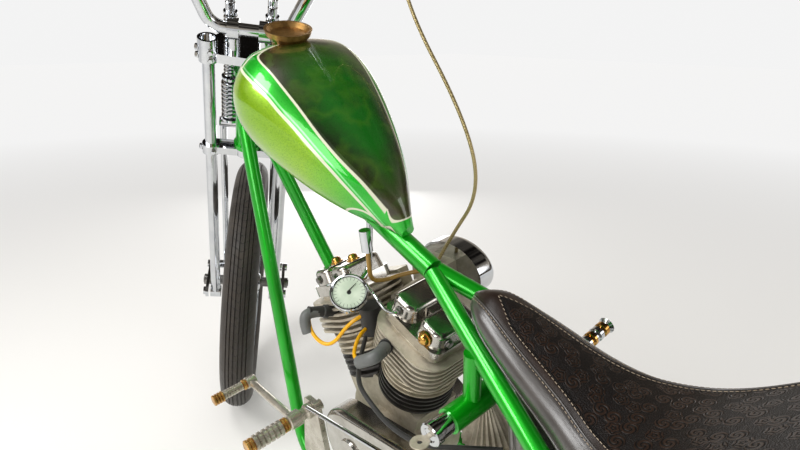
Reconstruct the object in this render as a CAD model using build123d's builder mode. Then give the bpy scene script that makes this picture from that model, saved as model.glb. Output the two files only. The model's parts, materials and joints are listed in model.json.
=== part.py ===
from build123d import *
from math import asin, atan2, cos, degrees, hypot, radians, sin, tan
import os

os.makedirs("parts", exist_ok=True)

# A rigid-frame chopper with a springer fork, parked leaning on its side stand.
# Every piece is drawn on the upright motorcycle: X forward, Y left, Z up, with the
# origin on the floor under the rear axle. The parked place then leans it. The front
# assembly is drawn about its own steering axis and turned against its stop first.

# Parked pose
lean = 9.13
steering_turn = -34.4
tyre_lift = 0.8

# Steering head
rake = 26
head_x = 1284
head_z = 884
axle_drop = 618.8
axle_offset = 46

# Frame
frame_slope = 24.17
junction_x = 731
junction_z = 673
backbone_diameter = 38
tube_diameter = 30
axle_height = 330
rail_z = 141
rail_half_width = 135
plate_half_width = 132

# Engine
crank_x = 864
crank_z = 288
bank_angle = 22.5
deck_height = 118
head_height = 222
rocker_height = 292
pushrod_y = -88
sized_end_radius = 20.5
sized_end_length = 60

park = Location((0, 0, tyre_lift)) * Location((0, 0, 0), (-lean, 0, 0))
c, s = cos(radians(rake)), sin(radians(rake))
steer = Plane(origin=(head_x, 0, head_z), x_dir=(c, 0, s), z_dir=(-s, 0, c))
fork_place = park * steer.location * Location((0, 0, 0), (0, 0, steering_turn))
front_axle_place = fork_place * Location((axle_offset, 0, -axle_drop))
rear_axle_place = park * Location((0, 0, axle_height))

# Side stand: its bolt's place on the upright frame, its foot and folded direction as parked
stand_bolt = park * Location((800, 166, 112))
stand_foot = Vector(892, 330, 9)
folded_direction = Vector(-0.99, 0.12, -0.03)
stand_leg_line = stand_foot - stand_bolt.position
stand_plane = Plane(
    origin=stand_bolt.position, x_dir=stand_leg_line, z_dir=stand_leg_line.cross(folded_direction)
)
stand_eye_radius = 14
stand_eye_height = 18
stand_bolt_radius = 6


finished = {}


def keep(piece, label, place=park):
    """Note a finished piece, in its parked place, under its name."""
    finished[label] = piece.part.moved(place)


def bent_tube(route, bend, diameter):
    """A round bar along straight runs joined by arcs."""
    with BuildPart() as tube:
        with BuildLine() as path:
            if len(route) == 2:
                Line(*route)
            else:
                FilletPolyline(*route, radius=bend)
        with BuildSketch(Plane(origin=path.line @ 0, z_dir=path.line % 0)):
            Circle(diameter / 2)
        sweep()
    return tube


def turned(start, along, outline):
    """A turned piece: its outline holds pairs of distance along the axis and radius."""
    corners = list(dict.fromkeys([(outline[0][0], 0), *outline, (outline[-1][0], 0)]))
    with BuildPart() as piece:
        with BuildSketch(Plane(origin=start, x_dir=along, z_dir=Plane(origin=start, z_dir=along).x_dir)):
            with BuildLine():
                Polyline(*corners, close=True)
            make_face()
        revolve(axis=Axis(start, along))
    return piece


def beads(low, high, count, small, large):
    """The outline of a row of beads, for a turned piece."""
    pitch = (high - low) / count
    outline = []
    for number in range(count):
        start = low + number * pitch
        outline += [(start, small), (start + 0.22 * pitch, large), (start + 0.78 * pitch, large)]
    return outline + [(high, small)]


def cut(piece, *others):
    """Cope a piece to the ones that it meets."""
    with BuildPart() as coped:
        add(piece.part)
        for other in others:
            add(other.part, mode=Mode.SUBTRACT)
    return coped


def largest(piece):
    """Keep only a piece's largest solid."""
    with BuildPart() as main_solid:
        add(piece.part.solids().sort_by(SortBy.VOLUME)[-1])
    return main_solid


def group(*pieces):
    """Like pieces as one part."""
    with BuildPart() as together:
        for piece in pieces:
            add(piece.part)
    return together


def side_view(x, y, z):
    """A plane through a point: sketch X is forward, sketch Y is up, normal to the right."""
    return Plane(origin=(x, y, z), x_dir=(1, 0, 0), z_dir=(0, -1, 0))


def top_line(x):
    """Height of the frame's straight top line, from the axle plates to the head."""
    return junction_z + (x - junction_x) * tan(radians(frame_slope))


def both_sides():
    """The two sides' names with the sign of Y."""
    return (("left", 1), ("right", -1))


# Frame: head tube and backbone
with BuildPart(steer) as head_solid:
    Cylinder(26, 188)
    with Locations((0, 0, -91), (0, 0, 91)):
        Cylinder(30, 10)
with BuildPart() as headstock:
    add(head_solid.part)
    with Locations(steer.location):
        Cylinder(13.2, 200, mode=Mode.SUBTRACT)
keep(headstock, "headstock")

backbone = bent_tube(
    [(junction_x, 0, junction_z), (head_x - 16, 0, top_line(head_x - 16))], 0, backbone_diameter
)
backbone = cut(backbone, head_solid)
keep(backbone, "backbone")

# Axle plates, down tubes, lower rails and stays on each side
axle_plates, down_tubes, rails, stays = {}, {}, {}, {}
for side, y in both_sides():
    with BuildPart() as plate:
        with BuildSketch(side_view(0, plate_half_width * y, axle_height)):
            with BuildLine():
                Polyline((-34, -22), (62, -34), (74, -14), (74, 36), (60, 52), (-24, 24), (-34, -22))
            make_face()
            with Locations((-8, 0)):
                SlotOverall(48, 21, mode=Mode.SUBTRACT)
        extrude(amount=5, both=True)
    axle_plates[side] = plate

    down = bent_tube(
        [
            (head_x - 4, 18 * y, head_z - 34),
            (1081, rail_half_width * y, rail_z),
            (900, rail_half_width * y, rail_z),
        ],
        105,
        tube_diameter,
    )
    down_tubes[side] = cut(down, head_solid)

    rail = bent_tube(
        [
            (900, rail_half_width * y, rail_z),
            (400, plate_half_width * y, rail_z),
            (64, plate_half_width * y, axle_height - 16),
        ],
        150,
        tube_diameter,
    )
    rails[side] = cut(rail, plate, down_tubes[side])

    stay = bent_tube(
        [
            (junction_x - 6, 6 * y, junction_z - 3),
            (350, plate_half_width * y, top_line(350)),
            (62, plate_half_width * y, top_line(62)),
        ],
        220,
        tube_diameter,
    )
    stays[side] = cut(stay, plate, backbone)
down_tubes["right"] = cut(down_tubes["right"], down_tubes["left"])
stays["right"] = cut(stays["right"], stays["left"])
stand_on_rail = park.inverse() * stand_plane.location
with BuildPart() as stand_lug:
    with Locations(stand_on_rail * Location((0, 0, stand_eye_height / 2 + 5))):
        Cylinder(stand_eye_radius, 8)
    with Locations(stand_on_rail):
        Cylinder(stand_bolt_radius, stand_eye_height + 8)
    with Locations(stand_on_rail * Location((0, 0, -stand_eye_height / 2 - 4))):
        Cylinder(10, 6)
    with Locations(Location((800, 147, 131), (17, 0, 0))):
        Box(26, 40, 8)
with BuildPart() as lower_rails:
    add(rails["left"].part)
    add(stand_lug.part)
    add(rails["right"].part)
keep(lower_rails, "lower_rails")
keep(group(*axle_plates.values()), "axle_plates")
keep(group(*down_tubes.values()), "down_tubes")
for side in stays:
    keep(stays[side], f"stay_{side}")

# Cross members between the rails, and the seat cross tube under its two hangers
with BuildPart() as cross_solid:
    add(bent_tube([(600, -112, 508), (600, 112, 508)], 0, 42).part)
    for x in (1010, 668, 452):
        with Locations(Location((x, 0, rail_z), (90, 0, 0))):
            Cylinder(13, 2 * rail_half_width)
    for y in (62, -62):
        add(bent_tube([(588, y, top_line(588)), (600, y, 508)], 0, 28).part)
cross_members = cut(cross_solid, *rails.values(), *down_tubes.values(), *stays.values())
keep(cross_members, "cross_members")

# Engine: crankcase, finned cylinders and heads, rocker boxes
crankshaft = side_view(crank_x, 0, crank_z)


def bank_plane(tilt, height=0):
    """A plane across one cylinder bank, a given height above the crankshaft."""
    along = Vector(sin(radians(tilt)), 0, cos(radians(tilt)))
    return Plane(
        origin=Vector(crank_x, 0, crank_z) + along * height,
        x_dir=(cos(radians(tilt)), 0, -sin(radians(tilt))),
        z_dir=along,
    )


with BuildPart() as crankcase:
    with BuildSketch(crankshaft):
        Circle(104)
        for tilt in (bank_angle, -bank_angle):
            with Locations(Location((0, 0), tilt * -1)):
                with Locations((0, deck_height / 2)):
                    Rectangle(128, deck_height)
        with Locations((0, -98)):
            Rectangle(150, 40)
    extrude(amount=50, both=True)
    with BuildSketch(side_view(crank_x, 50, crank_z)):
        Circle(58)
    extrude(amount=-42)

banks = (("front", bank_angle, 1), ("rear", -bank_angle, -1))
cylinders, heads, rocker_boxes = {}, {}, {}
for name, tilt, facing in banks:
    with BuildPart(bank_plane(tilt)) as barrel:
        with BuildSketch(bank_plane(tilt, deck_height)):
            Circle(55)
        extrude(amount=head_height - deck_height)
        for level in range(8):
            with BuildSketch(bank_plane(tilt, deck_height + 10 + 12 * level)):
                Circle(72)
            extrude(amount=4)
        with BuildSketch(side_view(crank_x, 0, crank_z)):
            with Locations((-facing * 148.5, 150)):
                Rectangle(300, 400)
        extrude(amount=90, both=True, mode=Mode.SUBTRACT)
    cylinders[name] = barrel

    with BuildPart() as head:
        with BuildSketch(bank_plane(tilt, head_height)):
            RectangleRounded(124, 116, 40)
        extrude(amount=rocker_height - head_height)
        for level in range(6):
            with BuildSketch(bank_plane(tilt, head_height + 2 + 11.5 * level)):
                RectangleRounded(160, 156, 46)
            extrude(amount=4.5)
        with BuildSketch(bank_plane(tilt, head_height + 26)):
            with Locations((-13 * facing, pushrod_y + 1)):
                RectangleRounded(88, 30, 10)
        extrude(amount=rocker_height - head_height - 26)
    heads[name] = head

    with BuildPart() as rocker_box:
        with BuildSketch(bank_plane(tilt, rocker_height)):
            RectangleRounded(136, 112, 18)
        extrude(amount=22)
        for x in (-34, 34):
            with BuildSketch(bank_plane(tilt, rocker_height + 22)):
                with Locations((x, 0)):
                    RectangleRounded(60, 102, 22)
            extrude(amount=30, taper=8)
        crowns = rocker_box.faces().sort_by(Axis((0, 0, 0), bank_plane(tilt).z_dir))[-2:]
        fillet(crowns.edges(), 10)
        with BuildSketch(bank_plane(tilt, rocker_height + 44)):
            Circle(13)
        extrude(amount=-24)
    rocker_boxes[name] = rocker_box
keep(group(*cylinders.values()), "cylinders")
keep(group(*heads.values()), "cylinder_heads")
keep(group(*rocker_boxes.values()), "rocker_boxes")

crankcase = cut(crankcase, *cylinders.values())
keep(crankcase, "crankcase")

# Right side of the engine: cam cover and pushrod tubes
with BuildPart() as cam_cover:
    with BuildSketch(side_view(crank_x, -50, crank_z)):
        with Locations((0, 20)):
            Ellipse(104, 70)
    extrude(amount=44)
    with BuildSketch(side_view(crank_x, -94, crank_z)):
        with Locations((0, 20)):
            Ellipse(96, 62)
    extrude(amount=6)
    with BuildSketch(side_view(crank_x, -98, crank_z)):
        with Locations((34, 6)):
            Circle(30)
    extrude(amount=9)
keep(cam_cover, "cam_cover")

with BuildPart() as pushrods:
    for foot_x, foot_z, top_x, top_z in (
        (52, 76, 108, 236),
        (24, 84, 62, 250),
        (-24, 84, -62, 250),
        (-52, 76, -108, 236),
    ):
        add(
            bent_tube(
                [
                    (crank_x + foot_x, pushrod_y, crank_z + foot_z),
                    (crank_x + top_x, pushrod_y, crank_z + top_z),
                ],
                0,
                15,
            ).part
        )
pushrods = cut(pushrods, cam_cover, *heads.values(), *cylinders.values())
keep(pushrods, "pushrod_tubes")

# Left side of the engine: primary drive cover
clutch_x = 560
clutch_z = 306
front_sprocket_radius = 58
with BuildPart() as primary_cover:
    with BuildSketch(side_view(0, 92, 0)) as primary_outline:
        with BuildLine():
            front = CenterArc((crank_x, crank_z), 92, -90, 180)
            back = CenterArc((clutch_x, clutch_z), 112, 90, 180)
            Line(front @ 1, back @ 0)
            Line(back @ 1, front @ 0)
        make_face()
    extrude(amount=-46)
    fillet(primary_cover.faces().sort_by(Axis.Y)[-1].edges(), 12)
    for x, z, hatch_radius in ((clutch_x, clutch_z, 58), (crank_x, crank_z, 34)):
        with BuildSketch(side_view(x, 137, z)):
            Circle(hatch_radius)
        extrude(amount=-6, taper=25)
keep(primary_cover, "primary_cover")

# Gearbox behind the engine, its output shaft and the kick starter on the right
with BuildPart() as gearbox:
    with BuildSketch(side_view(clutch_x, 0, clutch_z)):
        RectangleRounded(150, 150, 26)
    extrude(amount=52, both=True)
    with BuildSketch(side_view(clutch_x, -52, clutch_z)):
        with Locations((0, -10)):
            RectangleRounded(132, 118, 34)
    extrude(amount=46)
    with BuildSketch(side_view(clutch_x, 52, clutch_z)):
        Circle(24)
    extrude(amount=-40)
    with BuildSketch(side_view(clutch_x, 81, clutch_z)):
        Circle(front_sprocket_radius - 8)
    extrude(amount=-6)
keep(gearbox, "gearbox")

with BuildPart() as kick_starter:
    add(bent_tube([(548, -98, 296), (548, -150, 296)], 0, 20).part)
    add(
        bent_tube([(548, -140, 296), (556, -160, 400), (566, -162, 500)], 120, 16).part
    )
    add(turned((566, -152, 500), (0, -90, 8), [(0, 8), (12, 8), *beads(12, 90, 5, 8, 13), (96, 15)]).part)
keep(kick_starter, "kick_starter")

# Intake: manifold and carburettor, and the oval air cleaner
with BuildPart() as carburettor:
    add(bent_tube([(864, -20, 548), (864, -104, 556)], 0, 44).part)
    with Locations((864, -118, 560)):
        Box(62, 60, 74)
carburettor = cut(carburettor, *heads.values(), *cylinders.values(), pushrods)
keep(carburettor, "carburettor")

with BuildPart() as air_cleaner:
    with BuildSketch(side_view(852, -148, 572)):
        Ellipse(82, 56)
    extrude(amount=46)
    fillet(air_cleaner.faces().sort_by(Axis.Y)[0].edges(), 16)
keep(air_cleaner, "air_cleaner")

# Exhaust pipes on the right
front_pipe = bent_tube(
    [(1012, -46, 512), (1078, -96, 492), (1046, -172, 262), (990, -176, 198), (120, -176, 208)],
    [50, 70, 60],
    42,
)
rear_pipe = bent_tube(
    [(716, -46, 512), (640, -104, 496), (650, -176, 330), (520, -176, 262), (90, -176, 268)],
    [50, 70, 60],
    42,
)


def sized_end(pipe, back_end):
    """Bore a pipe's back end and turn it down for a muffler's clamp."""
    with BuildPart() as sized:
        add(pipe.part)
        with BuildSketch(Plane(origin=back_end @ 1, z_dir=back_end % 1)):
            Circle(22)
            Circle(sized_end_radius, mode=Mode.SUBTRACT)
        extrude(amount=-sized_end_length, mode=Mode.SUBTRACT)
        with BuildSketch(Plane(origin=back_end @ 1, z_dir=back_end % 1)):
            Circle(19)
        extrude(amount=-180, mode=Mode.SUBTRACT)
    return sized


front_pipe = sized_end(cut(front_pipe, heads["front"]), Edge.make_line((990, -176, 198), (120, -176, 208)))
rear_pipe = sized_end(cut(rear_pipe, heads["rear"]), Edge.make_line((520, -176, 262), (90, -176, 268)))
keep(group(front_pipe, rear_pipe), "exhaust_pipes")

# Oil tank: an upright fluted cylinder between the seat tube and the rear wheel
oil_tank_x = 474
with BuildPart() as oil_tank:
    with BuildSketch(Plane.XY.offset(392)):
        with Locations((oil_tank_x, 0)):
            Circle(82)
            with PolarLocations(84, 24):
                Circle(6, mode=Mode.SUBTRACT)
    extrude(amount=136)
oil_tank = cut(oil_tank, cross_members, *stays.values())
keep(oil_tank, "oil_tank")

# Ribbed cone on the gearbox, its ribs fanning out from the tip
cone_x = 632
cone_ribs = 24
rib_depth = 0.12
# height and radius of the cone's rings, from the foot to the tip
cone_rings = ((381, 46), (388, 46), (474, 7))
with BuildPart() as ribbed_cone:
    for (low, low_radius), (high, high_radius) in zip(cone_rings, cone_rings[1:]):
        for height, radius in ((low, low_radius), (high, high_radius)):
            with BuildSketch(Plane.XY.offset(height)):
                with Locations((cone_x, 0)):
                    corners = []
                    for corner in range(2 * cone_ribs):
                        reach = radius * (1 - rib_depth * (corner % 2))
                        turn = radians(180 * corner / cone_ribs)
                        corners.append((reach * cos(turn), reach * sin(turn)))
                    Polygon(*corners, align=None)
        loft(ruled=True)
keep(ribbed_cone, "ribbed_cone")

# Fuel tank: sections across the frame's top line, the nose last
backbone_frame = Plane(
    origin=(junction_x, 0, junction_z),
    x_dir=(0, 1, 0),
    z_dir=(cos(radians(frame_slope)), 0, sin(radians(frame_slope))),
)
# along, bottom height, bottom half width, widest height, widest half width,
# panel half width, panel height, top height
tank_sections = (
    (70, 20, 10, 27, 13, 8, 35, 38),
    (122, 22, 34, 48, 42, 28, 82, 90),
    (190, 30, 70, 72, 80, 54, 118, 129),
    (280, 42, 98, 100, 112, 76, 160, 177),
    (370, 50, 110, 126, 128, 88, 188, 203),
    (436, 58, 98, 130, 116, 80, 184, 196),
    (476, 84, 62, 130, 74, 46, 158, 166),
)
with BuildPart() as fuel_tank:
    for along, bottom, foot, wide_height, wide, panel, panel_height, top in tank_sections:
        with BuildSketch(backbone_frame.offset(along)):
            with BuildLine():
                Line((-foot, bottom), (foot, bottom))
                ThreePointArc((foot, bottom), (wide, wide_height), (panel, panel_height))
                ThreePointArc((panel, panel_height), (0, top), (-panel, panel_height))
                ThreePointArc((-panel, panel_height), (-wide, wide_height), (-foot, bottom))
            make_face()
    loft()
fuel_tank = cut(fuel_tank, backbone, head_solid)
keep(fuel_tank, "fuel_tank")

# Filler cap, fuel tap and the gauge on its bracket
filler_outline = [(0, 31), (10, 28), (22, 30), (34, 40), (44, 43), (44, 38), (36, 31)]
filler_cap = turned((1068, 0, 1010), (-0.3, 0, 1), filler_outline)
filler_cap = cut(filler_cap, fuel_tank)
keep(filler_cap, "filler_cap")

fuel_tap = bent_tube([(846, 44, 730), (846, 44, 690)], 0, 20)
fuel_tap = cut(fuel_tap, fuel_tank)
keep(fuel_tap, "fuel_tap")

gauge_x = 850
gauge_y = 92
gauge_z = 628
gauge_bracket_x = 880
cup_outline = [(-3, 29.5), (0, 30), (0, 33), (5, 33), (5, 31), (22, 30), (30, 22), (32, 12)]
with BuildPart() as gauge:
    add(turned((gauge_x, gauge_y, gauge_z), (0.55, -0.35, -0.75), cup_outline).part)
    add(
        bent_tube(
            [
                (gauge_x + 12, gauge_y - 7, gauge_z - 18),
                (gauge_bracket_x, 24, gauge_z + 8),
                (gauge_bracket_x, 4, top_line(gauge_bracket_x)),
            ],
            16,
            12,
        ).part
    )
gauge = cut(gauge, backbone, fuel_tank)
keep(gauge, "gauge")

# Rear fender with its struts and tail lamp
arch = 350
fender_turn = -55
with BuildPart() as fender:
    with BuildSketch(Plane.YZ):
        with BuildLine():
            Polyline((-75, arch - 34), (-75, arch - 12))
            ThreePointArc((-75, arch - 12), (0, arch + 6), (75, arch - 12))
            Polyline((75, arch - 12), (75, arch - 34), (72, arch - 34), (72, arch - 14))
            ThreePointArc((72, arch - 14), (0, arch + 3), (-72, arch - 14))
            Polyline((-72, arch - 14), (-72, arch - 34), (-75, arch - 34))
        make_face()
    revolve(axis=Axis.Y, revolution_arc=130)
with BuildPart() as rear_fender:
    add(fender.part.moved(Location((0, 0, axle_height), (0, fender_turn, 0))))
keep(rear_fender, "rear_fender")

with BuildPart() as fender_struts:
    for side, y in both_sides():
        add(bent_tube([(20, 142 * y, 362), (-60, 82 * y, 640)], 0, 12).part)
fender_struts = cut(fender_struts, rear_fender, *axle_plates.values(), *stays.values())
keep(fender_struts, "fender_struts")

lamp_plane = Plane(origin=(-238, 0, 600), x_dir=(0, 1, 0), z_dir=(-0.9, 0, 0.436))
lamp_outline = [(-40, 14), (0, 14), (4, 26), (14, 34), (30, 36), (30, 39), (38, 39), (38, 35), (36, 34)]
tail_lamp = turned(lamp_plane.origin, lamp_plane.z_dir, lamp_outline)
tail_lamp = largest(cut(tail_lamp, rear_fender))
keep(tail_lamp, "tail_lamp")

# Seat: sections from its nose over the dip to its kicked-up tail
# x, bottom height, bottom half width, seam height, seam half width, crest height
seat_sections = (
    (654, 654, 14, 668, 10, 673),
    (640, 646, 30, 684, 22, 692),
    (600, 629, 44, 692, 32, 701),
    (531, 598, 62, 662, 43, 674),
    (439, 557, 88, 620, 66, 634),
    (376, 536, 110, 596, 92, 608),
    (300, 540, 130, 600, 112, 610),
    (210, 602, 132, 654, 116, 664),
    (130, 664, 124, 728, 108, 740),
)
with BuildPart() as seat:
    for x, bottom, foot, seam_height, seam, crest in seat_sections:
        with BuildSketch(Plane(origin=(x, 0, 0), x_dir=(0, 1, 0), z_dir=(1, 0, 0))):
            with BuildLine():
                Polyline((-seam, seam_height), (-foot, bottom + 8), (-foot + 6, bottom))
                Line((-foot + 6, bottom), (foot - 6, bottom))
                Polyline((foot - 6, bottom), (foot, bottom + 8), (seam, seam_height))
                ThreePointArc((seam, seam_height), (0, crest), (-seam, seam_height))
            make_face()
    loft()
seat = largest(cut(seat, rear_fender, *stays.values(), backbone))
keep(seat, "seat")

# Wheels, drawn about Z and then laid on their axles: tyre, and laced rim with its hub
rear_sprocket_radius = 121
rear_sprocket_teeth = 48
axle_radius = 9.5
spokes_a_side = 20
spoke_cross = 38
# radius, tyre tube radius, bead half width, bead seat radius, flange half spacing, flange radius
wheels = {
    "front": (347, 41, 27, 267, 30, 31),
    "rear": (axle_height, 63, 43, 207, 38, 38),
}
on_axle = Location((0, 0, 0), (-90, 0, 0))
wheel_places = {"front": front_axle_place * on_axle, "rear": rear_axle_place * on_axle}


def spoke(inside, flange, outside, turn):
    """One spoke from a hub flange to the rim, turned about the axle on its way."""
    near = Vector(inside, 0, flange)
    far = Vector(outside * cos(radians(turn)), outside * sin(radians(turn)), flange / 8)
    with BuildPart(mode=Mode.PRIVATE) as wire:
        with BuildSketch(Plane(origin=near, z_dir=far - near)):
            RegularPolygon(2.2, 6)
        extrude(amount=(far - near).length)
    return wire.part


for name, (radius, tube, bead, seat_radius, flange, flange_radius) in wheels.items():
    middle = radius - tube
    lip = middle - (tube**2 - bead**2) ** 0.5
    wall = 9
    inner_lip = middle - ((tube - wall) ** 2 - (bead - wall) ** 2) ** 0.5
    with BuildPart() as tyre:
        with BuildSketch(Plane.XZ):
            with BuildLine():
                Polyline((lip, bead), (seat_radius, bead), (seat_radius, bead - wall), (inner_lip, bead - wall))
                ThreePointArc((inner_lip, bead - wall), (radius - wall, 0), (inner_lip, wall - bead))
                Polyline((inner_lip, wall - bead), (seat_radius, wall - bead), (seat_radius, -bead), (lip, -bead))
                ThreePointArc((lip, -bead), (radius, 0), (lip, bead))
            make_face()
        revolve(axis=Axis.Z)
    keep(tyre, f"{name}_tyre", wheel_places[name])

    edge = bead + 3
    rim_half = [
        (lip, edge),
        (lip, bead),
        (seat_radius, bead),
        (seat_radius, 0.6 * bead),
        (seat_radius - 12, 0.4 * bead),
    ]
    rim_inside = [
        (seat_radius - 16, 0.48 * bead),
        (seat_radius - 4, 0.68 * bead),
        (seat_radius - 4, edge),
    ]
    hub_half = [
        (20, flange + 8),
        (24, flange + 3),
        (flange_radius + 5, flange + 3),
        (flange_radius + 5, flange - 3),
        (24, flange - 8),
    ]
    with BuildPart() as rim:
        with BuildSketch(Plane.XZ):
            with BuildLine():
                Polyline(
                    *rim_half,
                    *((r, -z) for r, z in reversed(rim_half)),
                    *((r, -z) for r, z in reversed(rim_inside)),
                    *rim_inside,
                    close=True,
                )
            make_face()
            with BuildLine():
                Polyline(
                    (axle_radius + 0.5, flange + 8),
                    *hub_half,
                    *((r, -z) for r, z in reversed(hub_half)),
                    (axle_radius + 0.5, -flange - 8),
                    close=True,
                )
            make_face()
        revolve(axis=Axis.Z)
        for side in (1, -1):
            for cross in (spoke_cross, -spoke_cross):
                start = 90 / spokes_a_side * (side + (2 if cross > 0 else 0))
                with PolarLocations(0, spokes_a_side // 2, start_angle=start):
                    add(spoke(flange_radius, side * flange, seat_radius - 14, cross))
    keep(rim, f"{name}_rim", wheel_places[name])

with BuildPart() as sprocket:
    with BuildSketch(Plane.XZ.offset(-49)):
        Circle(92)
        Circle(axle_radius + 0.5, mode=Mode.SUBTRACT)
    extrude(amount=-29)
    with BuildSketch(Plane.XZ.offset(-78)):
        Circle(70)
        Circle(axle_radius + 0.5, mode=Mode.SUBTRACT)
    extrude(amount=-3)
    with BuildSketch(Plane.XZ.offset(-81)):
        Circle(rear_sprocket_radius - 17)
        with PolarLocations(rear_sprocket_radius - 14, rear_sprocket_teeth):
            Trapezoid(11, 12, 75, rotation=-90)
        with PolarLocations(86, 8):
            Circle(7, mode=Mode.SUBTRACT)
        Circle(axle_radius + 0.5, mode=Mode.SUBTRACT)
    extrude(amount=-6)
keep(sprocket, "rear_sprocket", rear_axle_place)

with BuildPart() as rear_axle:
    with Locations(Location((0, 0, axle_height), (90, 0, 0))):
        Cylinder(axle_radius, 300)
    for inner, outer in ((88, 127), (-127, -47), (137, 149), (-149, -137)):
        with Locations(Location((0, (inner + outer) / 2, axle_height), (90, 0, 0))):
            Cylinder(15, outer - inner)
rear_axle = largest(cut(rear_axle, *axle_plates.values()))
keep(rear_axle, "rear_axle")

# Drive chain: one loop of waisted link plates round the two sprockets
chain_links = 106
pin_half_height = 6
waist_half_height = 4.2
with BuildLine(mode=Mode.PRIVATE) as chain_path:
    rise = clutch_z - axle_height
    spread = rear_sprocket_radius - front_sprocket_radius
    tilt = degrees(atan2(rise, clutch_x))
    wrap = degrees(asin(spread / hypot(clutch_x, rise)))
    upper = tilt + 90 - wrap
    lower = tilt - 90 + wrap
    back = CenterArc((0, axle_height), rear_sprocket_radius, upper, 180 + 2 * wrap)
    front = CenterArc((clutch_x, clutch_z), front_sprocket_radius, lower, 180 - 2 * wrap)
    Line(back @ 1, front @ 0)
    Line(front @ 1, back @ 0)
chain_loop = chain_path.wire()
chain_middle = Vector(clutch_x / 2, (clutch_z + axle_height) / 2)
outer_edge, inner_edge = [], []
for step in range(2 * chain_links):
    along = chain_loop.length * step / (2 * chain_links)
    point = chain_loop.position_at(along, position_mode=PositionMode.LENGTH)
    tangent = chain_loop.tangent_at(along, position_mode=PositionMode.LENGTH)
    outward = tangent.cross(Vector(0, 0, 1))
    if outward.dot(point - chain_middle) < 0:
        outward = outward * -1
    half_height = waist_half_height if step % 2 else pin_half_height
    outer_edge.append(point + outward * half_height)
    inner_edge.append(point - outward * half_height)
with BuildPart() as drive_chain:
    with BuildSketch(side_view(0, 77, 0)):
        Polygon(*(tuple(point)[:2] for point in outer_edge), align=None)
        Polygon(*(tuple(point)[:2] for point in inner_edge), align=None, mode=Mode.SUBTRACT)
    extrude(amount=-14)
keep(drive_chain, "drive_chain")

# Fork, drawn about the steering axis: X forward, Z up the axis, origin mid head tube
leg_y = 79
leg_x = -4
spring_y = 41
spring_x = 50
leg_pivot_z = 10 - axle_drop
spring_pivot_z = 16 - axle_drop
bar_z = 184
bar_radius = 12.7
riser_y = 30
with BuildPart() as fork_trees:
    with BuildSketch(Plane.XY.offset(118)):
        with BuildLine():
            FilletPolyline(
                (-26, -60),
                (-30, 0),
                (-26, 60),
                (20, 92),
                (72, 58),
                (72, -58),
                (20, -92),
                radius=12,
                close=True,
            )
        make_face()
    extrude(amount=19)
    for y in (leg_y, -leg_y):
        with Locations((leg_x, y, 128)):
            Cylinder(19, 36)
    with BuildSketch(Plane.XY.offset(-116)):
        RectangleRounded(34, 2 * leg_y, 8)
        Circle(27)
    extrude(amount=18)
    for y in (leg_y, -leg_y):
        with Locations((leg_x, y, -107)):
            Cylinder(19, 24)
    with Locations((0, 0, 0)):
        Cylinder(12.7, 250)
    for y in (leg_y, -leg_y):
        with Locations((leg_x, y, 0)):
            Cylinder(12.5, 400, mode=Mode.SUBTRACT)
    for y in (spring_y, -spring_y):
        with Locations((spring_x, y, 128)):
            Cylinder(6.5, 60, mode=Mode.SUBTRACT)
keep(fork_trees, "fork_clamps", fork_place)

# A leg's outline from its pivot up to the open cup on its top
leg_outline = [(0, 12.5), (763, 12.5), (763, 20), (777, 20), (777, 15), (769, 15)]
with BuildPart() as fork_legs:
    for y in (leg_y, -leg_y):
        add(turned((leg_x, y, 146 - 763), (0, 0, 1), leg_outline).part)
        with Locations(Location((leg_x, y, leg_pivot_z), (90, 0, 0))):
            Cylinder(16, 27)
keep(fork_legs, "fork_legs", fork_place)

# Spring legs with their yoke, and the two spring rods with collars and end nuts
rocker_x = 92
rod_radius = 6
yoke_z = -74
main_spring_foot = yoke_z + 17
main_spring_top = 42
rod_collars = [
    (0, rod_radius),
    (main_spring_foot - 6 - yoke_z, rod_radius),
    (main_spring_foot - 6 - yoke_z, 21),
    (main_spring_foot - yoke_z, 21),
    (main_spring_foot - yoke_z, rod_radius),
    (main_spring_top - yoke_z, rod_radius),
    (main_spring_top - yoke_z, 19),
    (main_spring_top + 5 - yoke_z, 19),
    (main_spring_top + 5 - yoke_z, rod_radius),
    (190 - yoke_z, rod_radius),
    (190 - yoke_z, 14),
    (194 - yoke_z, 14),
    (194 - yoke_z, 10),
    (212 - yoke_z, 10),
    (214 - yoke_z, 8),
    (216 - yoke_z, 10),
    (228 - yoke_z, 10),
    (236 - yoke_z, 6),
]
with BuildPart() as spring_legs:
    for y in (1, -1):
        add(bent_tube([(rocker_x, 60 * y, spring_pivot_z + 2), (spring_x, 58 * y, yoke_z - 4)], 0, 16).part)
        with Locations(Location((rocker_x, 77 * y, spring_pivot_z), (90, 0, 0))):
            Cylinder(12, 40)
    with Locations(Location((spring_x, 0, yoke_z), (90, 0, 0))):
        Cylinder(11, 132)
    for y in (spring_y, -spring_y):
        add(turned((spring_x, y, yoke_z), (0, 0, 1), rod_collars).part)
spring_legs = cut(spring_legs, fork_legs)
keep(spring_legs, "spring_legs", fork_place)

# foot, top, number of coils and outer radius of each spring on a rod
coil_springs = (
    (main_spring_foot, main_spring_top, 9, 21),
    (main_spring_top + 5, 118, 7, 15),
    (137, 190, 6, 14),
)
with BuildPart() as fork_springs:
    for y in (spring_y, -spring_y):
        for low, high, coils, coil_radius in coil_springs:
            sleeve = turned(
                (spring_x, y, low),
                (0, 0, 1),
                beads(0, high - low, coils, coil_radius - 4, coil_radius),
            )
            with BuildPart(mode=Mode.PRIVATE) as rod:
                with Locations((spring_x, y, (low + high) / 2)):
                    Cylinder(rod_radius, high - low + 2)
            add(cut(sleeve, rod).part)
keep(fork_springs, "fork_springs", fork_place)

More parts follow.
